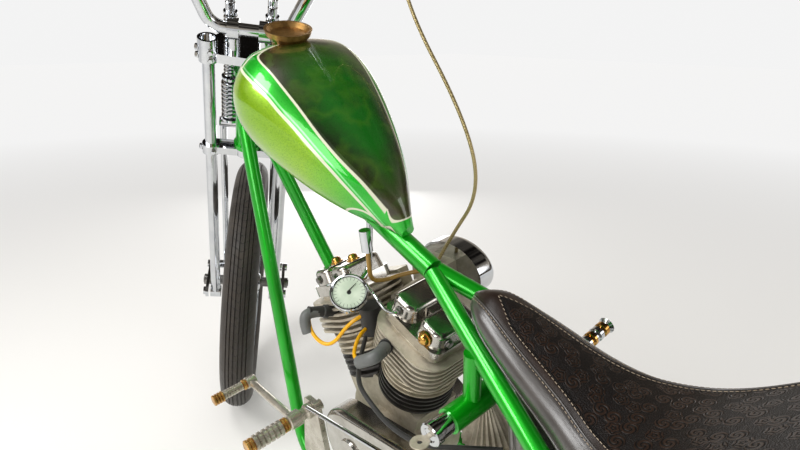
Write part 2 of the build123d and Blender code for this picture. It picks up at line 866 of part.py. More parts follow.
with BuildPart() as rockers:
    for y in (1, -1):
        with BuildSketch(Plane.XZ.offset(-98 * y)):
            with BuildLine():
                FilletPolyline(
                    (leg_x - 18, leg_pivot_z + 12),
                    (leg_x, leg_pivot_z + 18),
                    (rocker_x, spring_pivot_z + 16),
                    (rocker_x + 16, spring_pivot_z),
                    (rocker_x, spring_pivot_z - 16),
                    (axle_offset, -axle_drop - 20),
                    (leg_x - 10, leg_pivot_z - 16),
                    radius=8,
                    close=True,
                )
            make_face()
            with Locations((axle_offset, -axle_drop)):
                Circle(axle_radius, mode=Mode.SUBTRACT)
        extrude(amount=-8 * y)
        for x, z in ((leg_x, leg_pivot_z), (rocker_x, spring_pivot_z)):
            with Locations(Location((x, 109 * y, z), (90, 0, 0))):
                Cylinder(11, 6)
keep(rockers, "rockers", fork_place)

with BuildPart() as front_axle:
    with Locations(Location((axle_offset, 0, -axle_drop), (90, 0, 0))):
        Cylinder(axle_radius, 236)
    for y in (1, -1):
        with Locations(Location((axle_offset, 69 * y, -axle_drop), (90, 0, 0))):
            Cylinder(14, 58)
        with Locations(Location((axle_offset, 111 * y, -axle_drop), (90, 0, 0))):
            Cylinder(15, 10)
front_axle = largest(cut(front_axle, rockers, fork_legs, spring_legs))
keep(front_axle, "front_axle", fork_place)

# Handlebar on its risers, grips and clutch lever
plate_top = 137
with BuildPart() as risers:
    for y in (riser_y, -riser_y):
        with Locations((leg_x, y, (plate_top + bar_z) / 2)):
            Cylinder(13, bar_z - plate_top)
        with Locations(Location((leg_x, y, bar_z), (90, 0, 0))):
            Cylinder(21, 22)

bar_end = Vector(-196, 300, 520)
bar_shoulder = Vector(-14, 182, 452)
bar_foot = Vector(leg_x, 72, bar_z)
half_bar = [tuple(bar_end), tuple(bar_shoulder), tuple(bar_foot)]
bar_route = half_bar + [(x, -y, z) for x, y, z in reversed(half_bar)]
handlebar = bent_tube(bar_route, 42, 2 * bar_radius)
keep(handlebar, "handlebar", fork_place)
keep(cut(risers, handlebar), "risers", fork_place)

grip_start = bar_shoulder + (bar_end - bar_shoulder) * 0.49
grip_finish = bar_shoulder + (bar_end - bar_shoulder) * 1.02
with BuildPart() as grips:
    for y in (1, -1):
        add(
            bent_tube(
                [(point.X, point.Y * y, point.Z) for point in (grip_start, grip_finish)], 0, 34
            ).part
        )
grips = cut(grips, handlebar)
keep(grips, "grips", fork_place)

with BuildPart() as clutch_lever:
    with Locations(Location((-86, 233, 479), (0, 0, 0))):
        Box(34, 30, 34)
    add(bent_tube([(-66, 236, 486), (-70, 262, 494), (-172, 326, 530)], 20, 10).part)
clutch_lever = cut(clutch_lever, handlebar, grips)
keep(clutch_lever, "clutch_lever", fork_place)

# Headlamp on a bracket in front of the springs
with BuildPart() as headlamp:
    with BuildSketch(Plane(origin=(96, 0, 10), x_dir=(0, 1, 0), z_dir=(c, 0, -s))) as lamp_back:
        Circle(30)
    with BuildSketch(Plane(origin=(96 + 60 * c, 0, 10 - 60 * s), x_dir=(0, 1, 0), z_dir=(c, 0, -s))):
        Circle(60)
    loft()
    with BuildSketch(Plane(origin=(96 + 60 * c, 0, 10 - 60 * s), x_dir=(0, 1, 0), z_dir=(c, 0, -s))):
        Circle(64)
    extrude(amount=18)
    with Locations((90, 0, 0)):
        Box(30, 20, 24)
with BuildPart() as lamp_bracket:
    add(bent_tube([(66, 0, 122), (92, 0, 96), (92, 0, 14)], 12, 12).part)
headlamp = cut(group(headlamp, lamp_bracket), spring_legs, fork_springs, fork_trees)
keep(headlamp, "headlamp", fork_place)

# Forward controls: pegs, arm and brackets on each down tube
peg_x, peg_z = 990, 327
toe_x, toe_z = 1178, 324
arm_y = 182
# Shaft with its collar and hub, then the foot peg's brass collar, beads and end
peg_outline = [
    (0, 11),
    (24, 11),
    (24, 16),
    (36, 16),
    (40, 12),
    (50, 12),
    (52, 17),
    (76, 17),
    (80, 12),
    *beads(80, 92, 2, 12, 15),
    *beads(92, 156, 6, 12, 16),
    *beads(156, 172, 2, 12, 15),
]
# Hub, inner brass ring, twisted middle and outer brass rings of the toe peg
toe_outline = [
    (0, 11),
    (3, 13),
    (22, 13),
    (24, 8),
    *beads(24, 32, 1, 8, 12),
    *beads(32, 78, 7, 8, 10),
    *beads(78, 102, 4, 8, 12),
]
controls = {}
for side, y in both_sides():
    with BuildPart() as control:
        add(turned((peg_x, 118 * y, peg_z), (0, y, 0), peg_outline).part)
        add(bent_tube([(peg_x - 5, arm_y * y, peg_z), (toe_x + 4, arm_y * y, toe_z)], 0, 16).part)
        add(turned((toe_x, 170 * y, toe_z), (0, y, 0), toe_outline).part)
        with BuildSketch(side_view(0, 135 * y, 0)):
            with BuildLine():
                FilletPolyline(
                    (peg_x - 22, peg_z + 20),
                    (peg_x + 22, peg_z + 20),
                    (1064, 176),
                    (1050, rail_z + 8),
                    (968, rail_z + 8),
                    radius=9,
                    close=True,
                )
            make_face()
        extrude(amount=6, both=True)
    control = largest(cut(control, down_tubes[side]))
    controls[side] = control
    keep(control, f"{side}_controls")

# Shift rod along the left side
shift_rod = bent_tube([(972, 158, 352), (640, 158, 414)], 0, 8)
keep(cut(shift_rod, controls["left"]), "shift_rod")

# Ignition switch on the left end of the seat cross tube
ignition_switch = bent_tube([(600, 112, 508), (600, 146, 508)], 0, 34)
keep(ignition_switch, "ignition_switch")

# Spark plugs with their boots, and the leads between them and the coil
with BuildPart() as coil:
    with Locations((864, 46, 548)):
        Cylinder(20, 56)
coil = cut(coil, *heads.values(), *rocker_boxes.values())
keep(coil, "ignition_coil")
plug_outline = [(0, 10), (20, 10), (20, 13), (27, 13), (27, 9), (30, 9), (30, 11), (52, 9), (58, 10)]
with BuildPart() as spark_plugs:
    for inner_x, outer_x in ((948, 960), (790, 748)):
        plug = turned((inner_x, 66, 540), (outer_x - inner_x, 52, 20), plug_outline)
        add(largest(cut(plug, *heads.values())).part)
keep(spark_plugs, "spark_plugs")
front_lead = bent_tube([(960, 118, 560), (950, 134, 530), (905, 120, 500), (876, 84, 556), (868, 62, 560)], 16, 7)
rear_lead = bent_tube([(748, 118, 560), (770, 136, 545), (830, 120, 520), (852, 84, 540), (860, 62, 536)], 16, 7)
with BuildPart() as plug_leads:
    add(front_lead.part)
    add(rear_lead.part)
plug_leads = cut(plug_leads, spark_plugs, coil)
keep(plug_leads, "plug_leads")

# Side stand, drawn where it stands in the parked pose: eye, leg and foot plate
with BuildPart() as stand_leg:
    with Locations(stand_plane.location):
        Cylinder(stand_eye_radius, stand_eye_height)
    add(bent_tube([stand_bolt.position + stand_leg_line * 0.06, stand_foot], 0, stand_eye_height).part)
    with BuildSketch(Plane.XY):
        with Locations((stand_foot.X + 4, stand_foot.Y + 4)):
            Ellipse(34, 22)
    extrude(amount=9)
    with Locations(stand_plane.location):
        Cylinder(stand_bolt_radius + 0.05, 40, mode=Mode.SUBTRACT)
    with BuildSketch(Plane.XY):
        Rectangle(4000, 4000)
    extrude(amount=-60, mode=Mode.SUBTRACT)
keep(stand_leg, "side_stand", Location())

with BuildPart() as bar_turned:
    add(group(grips, handlebar).part.moved(steer.location * Location((0, 0, 0), (0, 0, steering_turn))))

# Throttle cable from the right grip to the carburettor, held at both ends
cable_start = Location((grip_start.X - 8, -grip_start.Y - 6, grip_start.Z - 13))
grip_end = (steer.location * Location((0, 0, 0), (0, 0, steering_turn)) * cable_start).position
throttle_cable = bent_tube(
    [
        tuple(grip_end),
        (1010, -238, 1200),
        (980, -210, 1070),
        (820, -190, 865),
        (782, -176, 740),
        (830, -136, 650),
        (858, -122, 597),
    ],
    [30, 60, 60, 40, 30],
    7,
)
keep(largest(cut(throttle_cable, bar_turned, carburettor)), "throttle_cable")

# Every piece is written with the origin on the floor under the middle of the whole
boxes = [piece.bounding_box() for piece in finished.values()]
lows = [min(values) for values in zip(*(tuple(box.min) for box in boxes))]
highs = [max(values) for values in zip(*(tuple(box.max) for box in boxes))]
origin = Vector((lows[0] + highs[0]) / 2, (lows[1] + highs[1]) / 2, lows[2])
for label, piece in finished.items():
    piece = piece.moved(Location(-origin))
    piece.label = label
    export_step(piece, f"parts/{label}.step")
print("Origin from the rear contact, mm:", *(f"{value:.3f}" for value in origin))
print("Size, mm:", *(f"{high - low:.1f}" for low, high in zip(lows, highs)))
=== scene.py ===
import json
import bpy
import bmesh
from math import asin, atan2, cos, degrees, pi, radians, sin, sqrt
from mathutils import Matrix, Vector


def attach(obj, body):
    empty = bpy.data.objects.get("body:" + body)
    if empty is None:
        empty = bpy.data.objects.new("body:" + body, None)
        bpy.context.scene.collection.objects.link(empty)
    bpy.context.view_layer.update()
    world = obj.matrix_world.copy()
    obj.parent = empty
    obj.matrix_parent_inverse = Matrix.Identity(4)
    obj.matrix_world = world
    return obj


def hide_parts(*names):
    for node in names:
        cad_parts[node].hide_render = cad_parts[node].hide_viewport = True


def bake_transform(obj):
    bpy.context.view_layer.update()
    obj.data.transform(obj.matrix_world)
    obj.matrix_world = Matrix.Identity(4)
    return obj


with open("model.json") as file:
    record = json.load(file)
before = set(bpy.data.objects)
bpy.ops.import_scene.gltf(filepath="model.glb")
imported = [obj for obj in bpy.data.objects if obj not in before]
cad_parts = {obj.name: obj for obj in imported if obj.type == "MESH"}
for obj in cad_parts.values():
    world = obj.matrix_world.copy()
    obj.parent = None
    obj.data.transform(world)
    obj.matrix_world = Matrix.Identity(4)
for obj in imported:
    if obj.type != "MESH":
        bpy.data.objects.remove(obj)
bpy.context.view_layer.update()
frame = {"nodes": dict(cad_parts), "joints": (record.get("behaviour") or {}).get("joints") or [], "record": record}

joints = {joint["name"]: joint for joint in frame["joints"]}
shift = Matrix.Translation


def rotation(angle, axis):
    return Matrix.Rotation(angle, 4, axis)


# Places: the upright motorcycle's frame (X forward, Y left, Z up, floor under the rear axle),
# the turned fork about its steering axis, and the tank along the frame's top line
leanAngle = radians(9.13)
steeringTurn = radians(-34.4)
rakeAngle = radians(26)
frameSlope = radians(24.17)
axleHeight = 0.330
axleDrop = 0.6188
axleOffset = 0.046
junction = Vector((0.731, 0, 0.673))
crankshaft = Vector((0.864, 0, 0.288))
bankAngle = radians(22.5)
rockerHeight = 0.292

parkPlace = shift(joints["rear_wheel"]["pos_m"]) @ rotation(-leanAngle, "X") @ shift((0, 0, -axleHeight))
forkPlace = (
    shift(joints["steering"]["pos_m"])
    @ rotation(-leanAngle, "X")
    @ rotation(-rakeAngle, "Y")
    @ rotation(steeringTurn, "Z")
)
rearWheelPlace = parkPlace @ shift((0, 0, axleHeight))
frontWheelPlace = forkPlace @ shift((axleOffset, 0, -axleDrop))
tankPlace = parkPlace @ shift(junction) @ rotation(-frameSlope, "Y")
bankPlaces = {
    bank: parkPlace @ shift(crankshaft) @ rotation(angle, "Y")
    for bank, angle in (("front", bankAngle), ("rear", -bankAngle))
}


# Colours and material nodes
def linear(code):
    values = [int(code[i : i + 2], 16) / 255 for i in (0, 2, 4)]
    return [v / 12.92 if v <= 0.04045 else ((v + 0.055) / 1.055) ** 2.4 for v in values] + [1]


finishes = {}


def addNode(anchor, kind, settings=None, links=None):
    # the anchor is the tree itself, or any node or socket in it
    tree = anchor.id_data
    node = tree.nodes.new("ShaderNode" + kind)
    for key, value in (settings or {}).items():
        if isinstance(key, str) and hasattr(node, key):
            setattr(node, key, value)
        else:
            node.inputs[key].default_value = value
    for key, socket in (links or {}).items():
        tree.links.new(socket, node.inputs[key])
    return node


def startMaterial(name, settings):
    # a new finish, and its shader to be driven
    finishes[name] = material = bpy.data.materials.new(name)
    material.use_nodes = True
    shader = material.node_tree.nodes["Principled BSDF"]
    for key, value in settings.items():
        shader.inputs[key].default_value = value
    return shader


def feed(node, key, value):
    # a number is set, another node's output is linked
    if isinstance(value, (int, float)):
        node.inputs[key].default_value = value
    else:
        node.id_data.links.new(value, node.inputs[key])


def objectPoint(anchor, place=None):
    # the point in a piece's own frame: Mapping undoes the place that its mesh was given
    point = addNode(anchor, "TexCoord").outputs["Object"]
    if place is None:
        return point
    back = place.inverted()
    settings = {"Location": back.to_translation(), "Rotation": back.to_euler("XYZ")}
    return addNode(anchor, "Mapping", settings, {"Vector": point}).outputs[0]


def grain(point, sizeMm, detail=4, roughness=0.5):
    # a noise whose blobs are about sizeMm across
    settings = {"Scale": 1000 / sizeMm / 2, "Detail": detail, "Roughness": roughness}
    return addNode(point, "TexNoise", settings, {"Vector": point}).outputs[0]


def spread(value, low, high, fromLow=0.3, fromHigh=0.7):
    settings = {"From Min": fromLow, "From Max": fromHigh, "To Min": low, "To Max": high}
    return addNode(value, "MapRange", settings, {"Value": value}).outputs[0]


def blendColour(factor, first, second):
    settings = {"data_type": "RGBA"}
    links = {0: factor}
    for key, value in ((6, first), (7, second)):
        if isinstance(value, str):
            settings[key] = linear(value)
        else:
            links[key] = value
    return addNode(factor, "Mix", settings, links).outputs[2]


def blendValue(factor, first, second):
    node = addNode(factor, "Mix", {"data_type": "FLOAT"}, {0: factor})
    feed(node, 2, first)
    feed(node, 3, second)
    return node.outputs[0]


def mottled(point, spanMm, first, second, detail=5, roughness=0.65):
    # two shades in patches about spanMm across
    return blendColour(spread(grain(point, spanMm, detail, roughness), 0, 1), first, second)


def bump(shader, height, depthMm):
    node = addNode(shader, "Bump", {"Distance": depthMm / 1000, "Strength": 1.0}, {"Height": height})
    feed(shader, "Normal", node.outputs[0])


def maths(operation, *values):
    anchor = next(value for value in values if not isinstance(value, (int, float)))
    node = addNode(anchor, "Math", {"operation": operation})
    for i, value in enumerate(values):
        feed(node, i, value)
    return node.outputs[0]


def plus(first, second):
    return maths("ADD", first, second)


def minus(first, second):
    return maths("SUBTRACT", first, second)


def times(first, second):
    return maths("MULTIPLY", first, second)


def larger(first, second):
    return maths("MAXIMUM", first, second)


def absolute(value):
    return maths("ABSOLUTE", value)


def distanceOf(across, up):
    # distance from the middle, by two offsets square to each other
    return maths("SQRT", plus(times(across, across), times(up, up)))


def axes(point):
    return addNode(point, "SeparateXYZ", None, {"Vector": point}).outputs


# Plated, cast, painted and moulded finishes
def metalFinish(name, colour, worn, roughness, spanMm, pitMm=0.0, pitDepth=0.0, dirtAndShade="", metallic=1.0):
    # metal with smudges that change its shine over spanMm, and a skin of pits pitMm wide
    shader = startMaterial(name, {"Metallic": metallic})
    point = objectPoint(shader)
    feed(shader, "Roughness", spread(grain(point, spanMm, 6, 0.62), *roughness))
    shade = mottled(point, spanMm / 3, colour, worn, 5, 0.7)
    # darker patches: real stains and tarnish on most metals, painted shade on the cast aluminium
    if dirtAndShade:
        grimeAndShade = spread(grain(point, spanMm * 1.7, 8, 0.72), 0, 0.75, 0.52, 0.72)
        shade = blendColour(grimeAndShade, shade, dirtAndShade)
    feed(shader, "Base Color", shade)
    if pitMm:
        bump(shader, grain(point, pitMm, 3, 0.6), pitDepth)


def candyPaint(name, bright, deep):
    # candy lacquer over a silver base: a lit, metallic colour under thick clear coats
    settings = {"Metallic": 0.6, "Roughness": 0.34, "Coat Weight": 0.7, "Coat Roughness": 0.04}
    shader = startMaterial(name, settings)
    point = objectPoint(shader)
    feed(shader, "Base Color", mottled(point, 90, bright, deep, 3, 0.5))
    bump(shader, grain(point, 7, 2), 0.02)


def mouldedFinish(name, colour, worn, roughness, skinMm, skinDepth, sheen=0.0):
    # rubber, phenolic and plastic mouldings with a fine skin
    shader = startMaterial(name, {"Sheen Weight": sheen})
    point = objectPoint(shader)
    feed(shader, "Base Color", mottled(point, 24, colour, worn))
    feed(shader, "Roughness", spread(grain(point, 12), *roughness))
    bump(shader, grain(point, skinMm, 3), skinDepth)


# colour, worn colour, roughness, span of the smudges, width and depth of the pits, colour of the darker patches
# (stains and tarnish, and painted shade on the cast aluminium), metallic
metals = {
    # chromium plate: a bluish mirror, faintly hazed by wiping
    "chromePlate": ("d2d4d6", "c0c3c8", (0.035, 0.11), 60),
    # sand-cast aluminium: matt grey with a 1 mm sand skin, and darker brown-grey patches laid at random as painted
    # shade standing in for the darkening of its recesses
    "castAluminium": ("c6beac", "a79d8b", (0.36, 0.56), 30, 1.4, 0.35, "6a6050", 0.5),
    # aluminium polished by hand: soft mirror with drag marks and a brown film in places
    "polishedAluminium": ("c6c4bf", "aeaaa2", (0.12, 0.28), 45, 6.0, 0.08, "7c7365"),
    # bare steel: darker, satin, a little stained
    "satinSteel": ("8e8d8b", "777470", (0.26, 0.44), 40, 2.0, 0.05, "4a4038"),
    # brass, polished, with browner patches of tarnish
    "polishedBrass": ("d9ae62", "c08c3e", (0.14, 0.30), 20, 0, 0, "7a5424"),
    # filler cap: bronze gone brown, roughened by handling
    "agedBronze": ("c59c62", "9c7338", (0.3, 0.5), 18, 2.4, 0.12, "5c4020"),
}
for name, values in metals.items():
    metalFinish(name, *values)

# frame lacquer: candy green with a faint orange-peel skin
candyPaint("frameCandyGreen", "06b414", "04920e")

# colour, worn colour, roughness, width and depth of the skin, sheen
mouldings = {
    # cylinder paint: black enamel over cast iron, dulled by heat
    "blackEnamel": ("1b1a19", "35302b", (0.3, 0.55), 1.6, 0.25),
    # natural rubber of grips and hose: matt black with a greyish bloom
    "blackRubber": ("161615", "24231f", (0.5, 0.72), 2.0, 0.1, 0.15),
    # plug boots' grey silicone sleeve
    "greySleeve": ("6a6c6a", "545654", (0.4, 0.6), 3.0, 0.1),
    # lead insulation: glossy yellow PVC
    "yellowInsulation": ("f0b400", "dc9c00", (0.22, 0.4), 3.0, 0.05),
    # fuel hose: aged amber plastic
    "amberHose": ("a8853a", "8a6626", (0.25, 0.4), 3.0, 0.05),
    # waxed thread of the seat's stitches
    "waxedThread": ("a3927a", "7a6a56", (0.6, 0.8), 1.0, 0.1, 0.3),
}
for name, values in mouldings.items():
    mouldedFinish(name, *values)


def curveOf(value, span, top, points):
    # a measured line: pairs of place along the tank and height above it, in metres
    node = addNode(value, "FloatCurve", None, {"Value": maths("DIVIDE", value, span)})
    line = node.mapping.curves[0]
    while len(line.points) < len(points):
        line.points.new(0.5, 0.5)
    for knot, (place, height) in zip(line.points, points):
        knot.location = (place / span, height / top)
    node.mapping.update()
    return times(node.outputs[0], top)


def offLine(value, across, span, top, points):
    # signed distance from a measured line, square to it
    step = 0.004
    here = curveOf(value, span, top, points)
    ahead = curveOf(plus(value, step), span, top, points)
    slope = maths("DIVIDE", minus(ahead, here), step)
    return maths("DIVIDE", minus(across, here), maths("SQRT", plus(times(slope, slope), 1.0)))


def inside(distance, softness=0.0004):
    # 1 where the distance is below zero
    return spread(distance, 1, 0, -softness, softness)


def stripe(distance, middle, halfWidth):
    return inside(minus(absolute(minus(distance, middle)), halfWidth))


def rings(across, places):
    # the strongest of several stripes, each given by its middle and half width
    strongest = stripe(across, *places[0])
    for place in places[1:]:
        strongest = larger(strongest, stripe(across, *place))
    return strongest


# Tank lacquer: smoked dark panel on top, candy green band, lime metal-flake sides, cream lines.
# Places along the tank count forwards from its rear end.
tankPaint = {
    "span": 0.5,
    "top": 0.2,
    # the panel's round rear end: its middle along the tank, its radius, and how steep the tank is there
    "panelCap": (0.1035, 0.0245, 2.2),
    # half width of the top panel along the tank
    "panelEdge": (
        (0.060, 0.002), (0.085, 0.016), (0.105, 0.027), (0.146, 0.044), (0.212, 0.066),
        (0.283, 0.079), (0.363, 0.086), (0.412, 0.082), (0.431, 0.060), (0.438, 0.0),
    ),
    # height of the shoulder line along the tank
    "shoulder": (
        (0.098, 0.018), (0.111, 0.034), (0.138, 0.060), (0.179, 0.088), (0.224, 0.112),
        (0.307, 0.149), (0.362, 0.165), (0.425, 0.165), (0.476, 0.150),
    ),
    # the curl above the fuel tap: its middle along and up the tank, and its radius
    "scallop": (0.136, 0.016, 0.030),
    "lineHalfWidth": 0.0021,
    # the lime begins and ends between these places, and so does the panel's brown
    "limeBegins": (0.13, 0.24),
    "limeEnds": (0.43, 0.49),
    "brownEnds": (0.09, 0.19),
    "brownBegins": (0.30, 0.42),
}


def tankLacquer(settings):
    shader = startMaterial("tankLacquer", {"Coat Weight": 1.0, "Coat Roughness": 0.02})
    point = objectPoint(shader, tankPlace)
    along, lateral, height = axes(point)
    side = absolute(lateral)
    span, top, half = settings["span"], settings["top"], settings["lineHalfWidth"]

    # signed distances from the panel's edge, the shoulder line and the curl above the tap
    capAlong, capRadius, capSlope = settings["panelCap"]
    fromCap = minus(along, capAlong)
    rounded = times(minus(distanceOf(fromCap, side), capRadius), capSlope)
    edge = offLine(along, side, span, top, settings["panelEdge"])
    panel = blendValue(maths("LESS_THAN", fromCap, 0.0), edge, rounded)
    shoulder = offLine(along, height, span, top, settings["shoulder"])
    above = minus(1.0, inside(shoulder))
    tapAlong, tapHeight, tapRadius = settings["scallop"]
    fromTap = distanceOf(minus(along, tapAlong), minus(height, tapHeight))
    scallop = minus(fromTap, tapRadius)
    notCut = minus(1.0, inside(scallop))

    # lime flake, brightest mid-tank and gone to green at both ends
    flakes = spread(grain(point, 0.7, 2, 0.6), 0.05, 0.95, 0.36, 0.64)
    lime = blendColour(flakes, "70a000", "94bc08")
    begins = spread(along, 0, 1, *settings["limeBegins"])
    ends = spread(along, 1, 0, *settings["limeEnds"])
    limeShare = times(times(begins, ends), 0.95)
    green = mottled(point, 80, "12b81e", "0a9a14", 3, 0.5)
    sideColour = blendColour(limeShare, green, lime)

    # smoked panel: clear dark green in the middle, brown towards its edges and ends, paler clouds
    edgeSmoke = spread(panel, 0, 1.1, -0.05, 0.0)
    smoke = plus(edgeSmoke, spread(grain(point, 46, 5, 0.6), -0.35, 0.45))
    foreBrown = spread(along, 0, 0.7, *settings["brownBegins"])
    brown = plus(foreBrown, spread(along, 0.7, 0, *settings["brownEnds"]))
    panelColour = blendColour(smoke, "0b660c", "1c2c10")
    panelColour = blendColour(brown, panelColour, "3c2c12")
    clouds = absolute(minus(grain(point, 42, 3, 0.5), 0.5))
    panelColour = blendColour(spread(clouds, 0.22, 0, 0.0, 0.07), panelColour, "5c8a1c")

    onPanel = times(inside(panel), above)
    shade = blendColour(times(inside(shoulder), notCut), green, sideColour)
    shade = blendColour(onPanel, shade, panelColour)

    # cream lines, and a pale green one above the shoulder
    lines = times(stripe(panel, 0.0, 0.8 * half), above)
    lines = larger(lines, times(stripe(shoulder, 0.0, half), notCut))
    lines = larger(lines, times(stripe(scallop, 0.0, half), inside(shoulder)))
    pale = times(stripe(shoulder, 2.5 * half, 0.5 * half), notCut)
    shade = blendColour(times(pale, 0.75), shade, "8fe69a")
    shade = blendColour(lines, shade, "d6d6bc")
    feed(shader, "Base Color", shade)
    plain = larger(lines, times(onPanel, 0.5))
    feed(shader, "Metallic", spread(plain, 0.5, 0.0, 0.0, 1.0))
    feed(shader, "Roughness", spread(flakes, 0.26, 0.42, 0.0, 1.0))
    bump(shader, grain(point, 9, 2), 0.02)


tankLacquer(tankPaint)


# Brass rings and beads on the controls: middle and half width of each, across the motorcycle
brassRings = {
    # the toe pegs lie ahead of this place, the foot pegs behind it
    "toesAhead": 1.10,
    "toePeg": ((0.198, 0.005), (0.262, 0.014)),
    "footPeg": ((0.204, 0.006), (0.282, 0.009)),
    "kickPedal": ((0.1610, 0.0075), (0.1960, 0.0075), (0.2310, 0.0075)),
}


def pegMetal():
    # control castings: brushed aluminium, with the turned rings at the pegs' ends of brass
    shader = startMaterial("pegMetal", {"Metallic": 0.75})
    forward, lateral = axes(objectPoint(shader, parkPlace))[:2]
    side = absolute(lateral)
    toe = spread(forward, 0, 1, brassRings["toesAhead"], brassRings["toesAhead"] + 0.001)
    foot = minus(1.0, toe)
    toeRings = times(toe, rings(side, brassRings["toePeg"]))
    brass = plus(toeRings, times(foot, rings(side, brassRings["footPeg"])))
    point = objectPoint(shader)
    dull = mottled(point, 16, "d2cdc0", "a69e90")
    gold = mottled(point, 8, "dcb066", "9c6c30")
    feed(shader, "Base Color", blendColour(brass, dull, gold))
    feed(shader, "Roughness", spread(grain(point, 24), 0.16, 0.38))
    bump(shader, grain(point, 2.0, 3), 0.12)


def kickMetal():
    # kick starter: chromium plate, every other bead of its pedal brass
    shader = startMaterial("kickMetal", {"Metallic": 1.0})
    side = absolute(axes(objectPoint(shader, parkPlace))[1])
    beads = rings(side, brassRings["kickPedal"])
    point = objectPoint(shader)
    plate = mottled(point, 30, "d2d4d6", "b9bcc0")
    gold = mottled(point, 8, "dcb066", "a8742e")
    feed(shader, "Base Color", blendColour(beads, plate, gold))
    feed(shader, "Roughness", spread(grain(point, 24), 0.08, 0.22))


def tyreRubber(name, place, nicks, crown):
    # tyre compound: brown-black and dusty, with slanted nicks across the ribs outside the crown's radius, the
    # nicks painted near-black as their shade
    shader = startMaterial(name, {"Sheen Weight": 0.1})
    point = objectPoint(shader, place)
    forward, lateral, up = axes(point)
    turn = maths("DIVIDE", maths("ARCTAN2", up, forward), 2 * pi / nicks)
    slanted = plus(turn, times(absolute(lateral), 34.0))
    nick = spread(absolute(minus(maths("FRACT", slanted), 0.5)), 1, 0, 0.02, 0.06)
    reach = distanceOf(forward, up)
    nick = times(nick, spread(reach, 0, 1, crown - 0.0005, crown + 0.0005))
    shade = mottled(point, 24, "241f1b", "3a322a")
    # painted shade: the nicks darkened towards near-black
    feed(shader, "Base Color", blendColour(times(nick, 0.8), shade, "0c0a08"))
    feed(shader, "Roughness", spread(grain(point, 12), 0.55, 0.8))
    bump(shader, minus(times(grain(point, 3.0, 3), 0.2), nick), 1.2)


def goldBraid():
    # braided sleeve of pale gold wire: a fine check of two shades stands for the braid, the darker one painted
    # shade on the crossing strands
    shader = startMaterial("goldBraid", {"Metallic": 0.8, "Roughness": 0.36})
    point = objectPoint(shader)
    strands = addNode(shader, "TexChecker", {"Scale": 700.0}, {"Vector": point}).outputs[1]
    # painted light and shade: the same wire in a lit and a shaded tone
    feed(shader, "Base Color", blendColour(strands, "c9b98a", "8f7d52"))
    bump(shader, strands, 0.15)


def finMetal():
    # cylinders: black enamel below, the fins next to the heads bare and pale
    bareFrom = 0.176
    shader = startMaterial("finMetal", {})
    spot = axes(objectPoint(shader, parkPlace))
    lean = times(absolute(minus(spot["X"], crankshaft.x)), sin(bankAngle))
    rise = times(minus(spot["Z"], crankshaft.z), cos(bankAngle))
    bare = spread(plus(lean, rise), 0, 1, bareFrom, bareFrom + 0.002)
    point = objectPoint(shader)
    pale = mottled(point, 20, "c6bda8", "a0957f", 6, 0.7)
    dark = mottled(point, 24, "1b1a19", "35302b")
    feed(shader, "Base Color", blendColour(bare, dark, pale))
    feed(shader, "Metallic", times(bare, 0.45))
    feed(shader, "Roughness", spread(grain(point, 12), 0.34, 0.56))
    bump(shader, grain(point, 1.5, 3), 0.25)


finMetal()
pegMetal()
kickMetal()
tyreRubber("frontTyreRubber", frontWheelPlace, 110, 0.330)
tyreRubber("rearTyreRubber", rearWheelPlace, 90, 0.306)
goldBraid()

slotFinishes = {
    "frame_green": "frameCandyGreen",
    "tank_green": "tankLacquer",
    "chrome": "chromePlate",
    "cast_aluminium": "castAluminium",
    "polished_aluminium": "polishedAluminium",
    "black_iron": "blackEnamel",
    "steel": "satinSteel",
    "brass": "polishedBrass",
    "rubber": "blackRubber",
    "tyre": "frontTyreRubber",
    "leather": "blackRubber",
    "lead_yellow": "yellowInsulation",
    "braid": "goldBraid",
    "gauge_face": "polishedAluminium",
}
# pieces whose finish isn't their slot's
nodeFinishes = {
    "left_controls": "pegMetal",
    "right_controls": "pegMetal",
    "cylinders": "finMetal",
    "filler_cap": "agedBronze",
    "kick_starter": "kickMetal",
}
for part in frame["record"]["subparts"]:
    finish = nodeFinishes.get(part["node"], slotFinishes[part["material_slot"]])
    mesh = frame["nodes"][part["node"]].data
    mesh.materials.clear()
    mesh.materials.append(finishes[finish])


# Making pieces
quarterTurn = rotation(radians(90), "X")


def newObject(name, data):
    made = bpy.data.objects.new(name, data)
    bpy.context.scene.collection.objects.link(made)
    return made


def setPiece(name, mesh, finish):
    for key in [finish] if isinstance(finish, str) else finish:
        mesh.materials.append(finishes[key])
    piece = newObject(name, mesh)
    return piece


def addPiece(name, bm, finish, body, place):
    # weld, turn the faces outwards and set the piece in its place
    bmesh.ops.remove_doubles(bm, verts=bm.verts, dist=0.00002)
    bmesh.ops.recalc_face_normals(bm, faces=bm.faces)
    bm.transform(place)
    mesh = bpy.data.meshes.new(name)
    bm.to_mesh(mesh)
    bm.free()
    mesh.shade_smooth()
    mesh.set_sharp_from_angle(angle=radians(40))
    piece = setPiece(name, mesh, finish)
    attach(piece, body)
    return piece


def lathe(bm, outline, steps, place=Matrix.Identity(4), closed=False):
    # spin pairs of radius and distance along the place's Z about that Z
    verts = [bm.verts.new(place @ Vector((radius, 0, along))) for radius, along in outline]
    pairs = list(zip(verts, verts[1:])) + ([(verts[-1], verts[0])] if closed else [])
    edges = [bm.edges.new(pair) for pair in pairs]
    bmesh.ops.spin(
        bm, geom=verts + edges, cent=place.to_translation(), axis=place.to_3x3() @ Vector((0, 0, 1)),
        angle=2 * pi, steps=steps, use_merge=True,
    )


def hexBolt(bm, place, across, height):
    # chamfered hexagon on a round washer
    radius = across / sqrt(3)
    lathe(bm, [(0.0001, height), (0.78 * radius, height), (radius, 0.8 * height), (radius, 0)], 6, place)
    washer = 1.25 * radius
    lathe(bm, [(0.5 * radius, 0.0004), (washer, 0.0004), (washer, -0.0015)], 20, place)


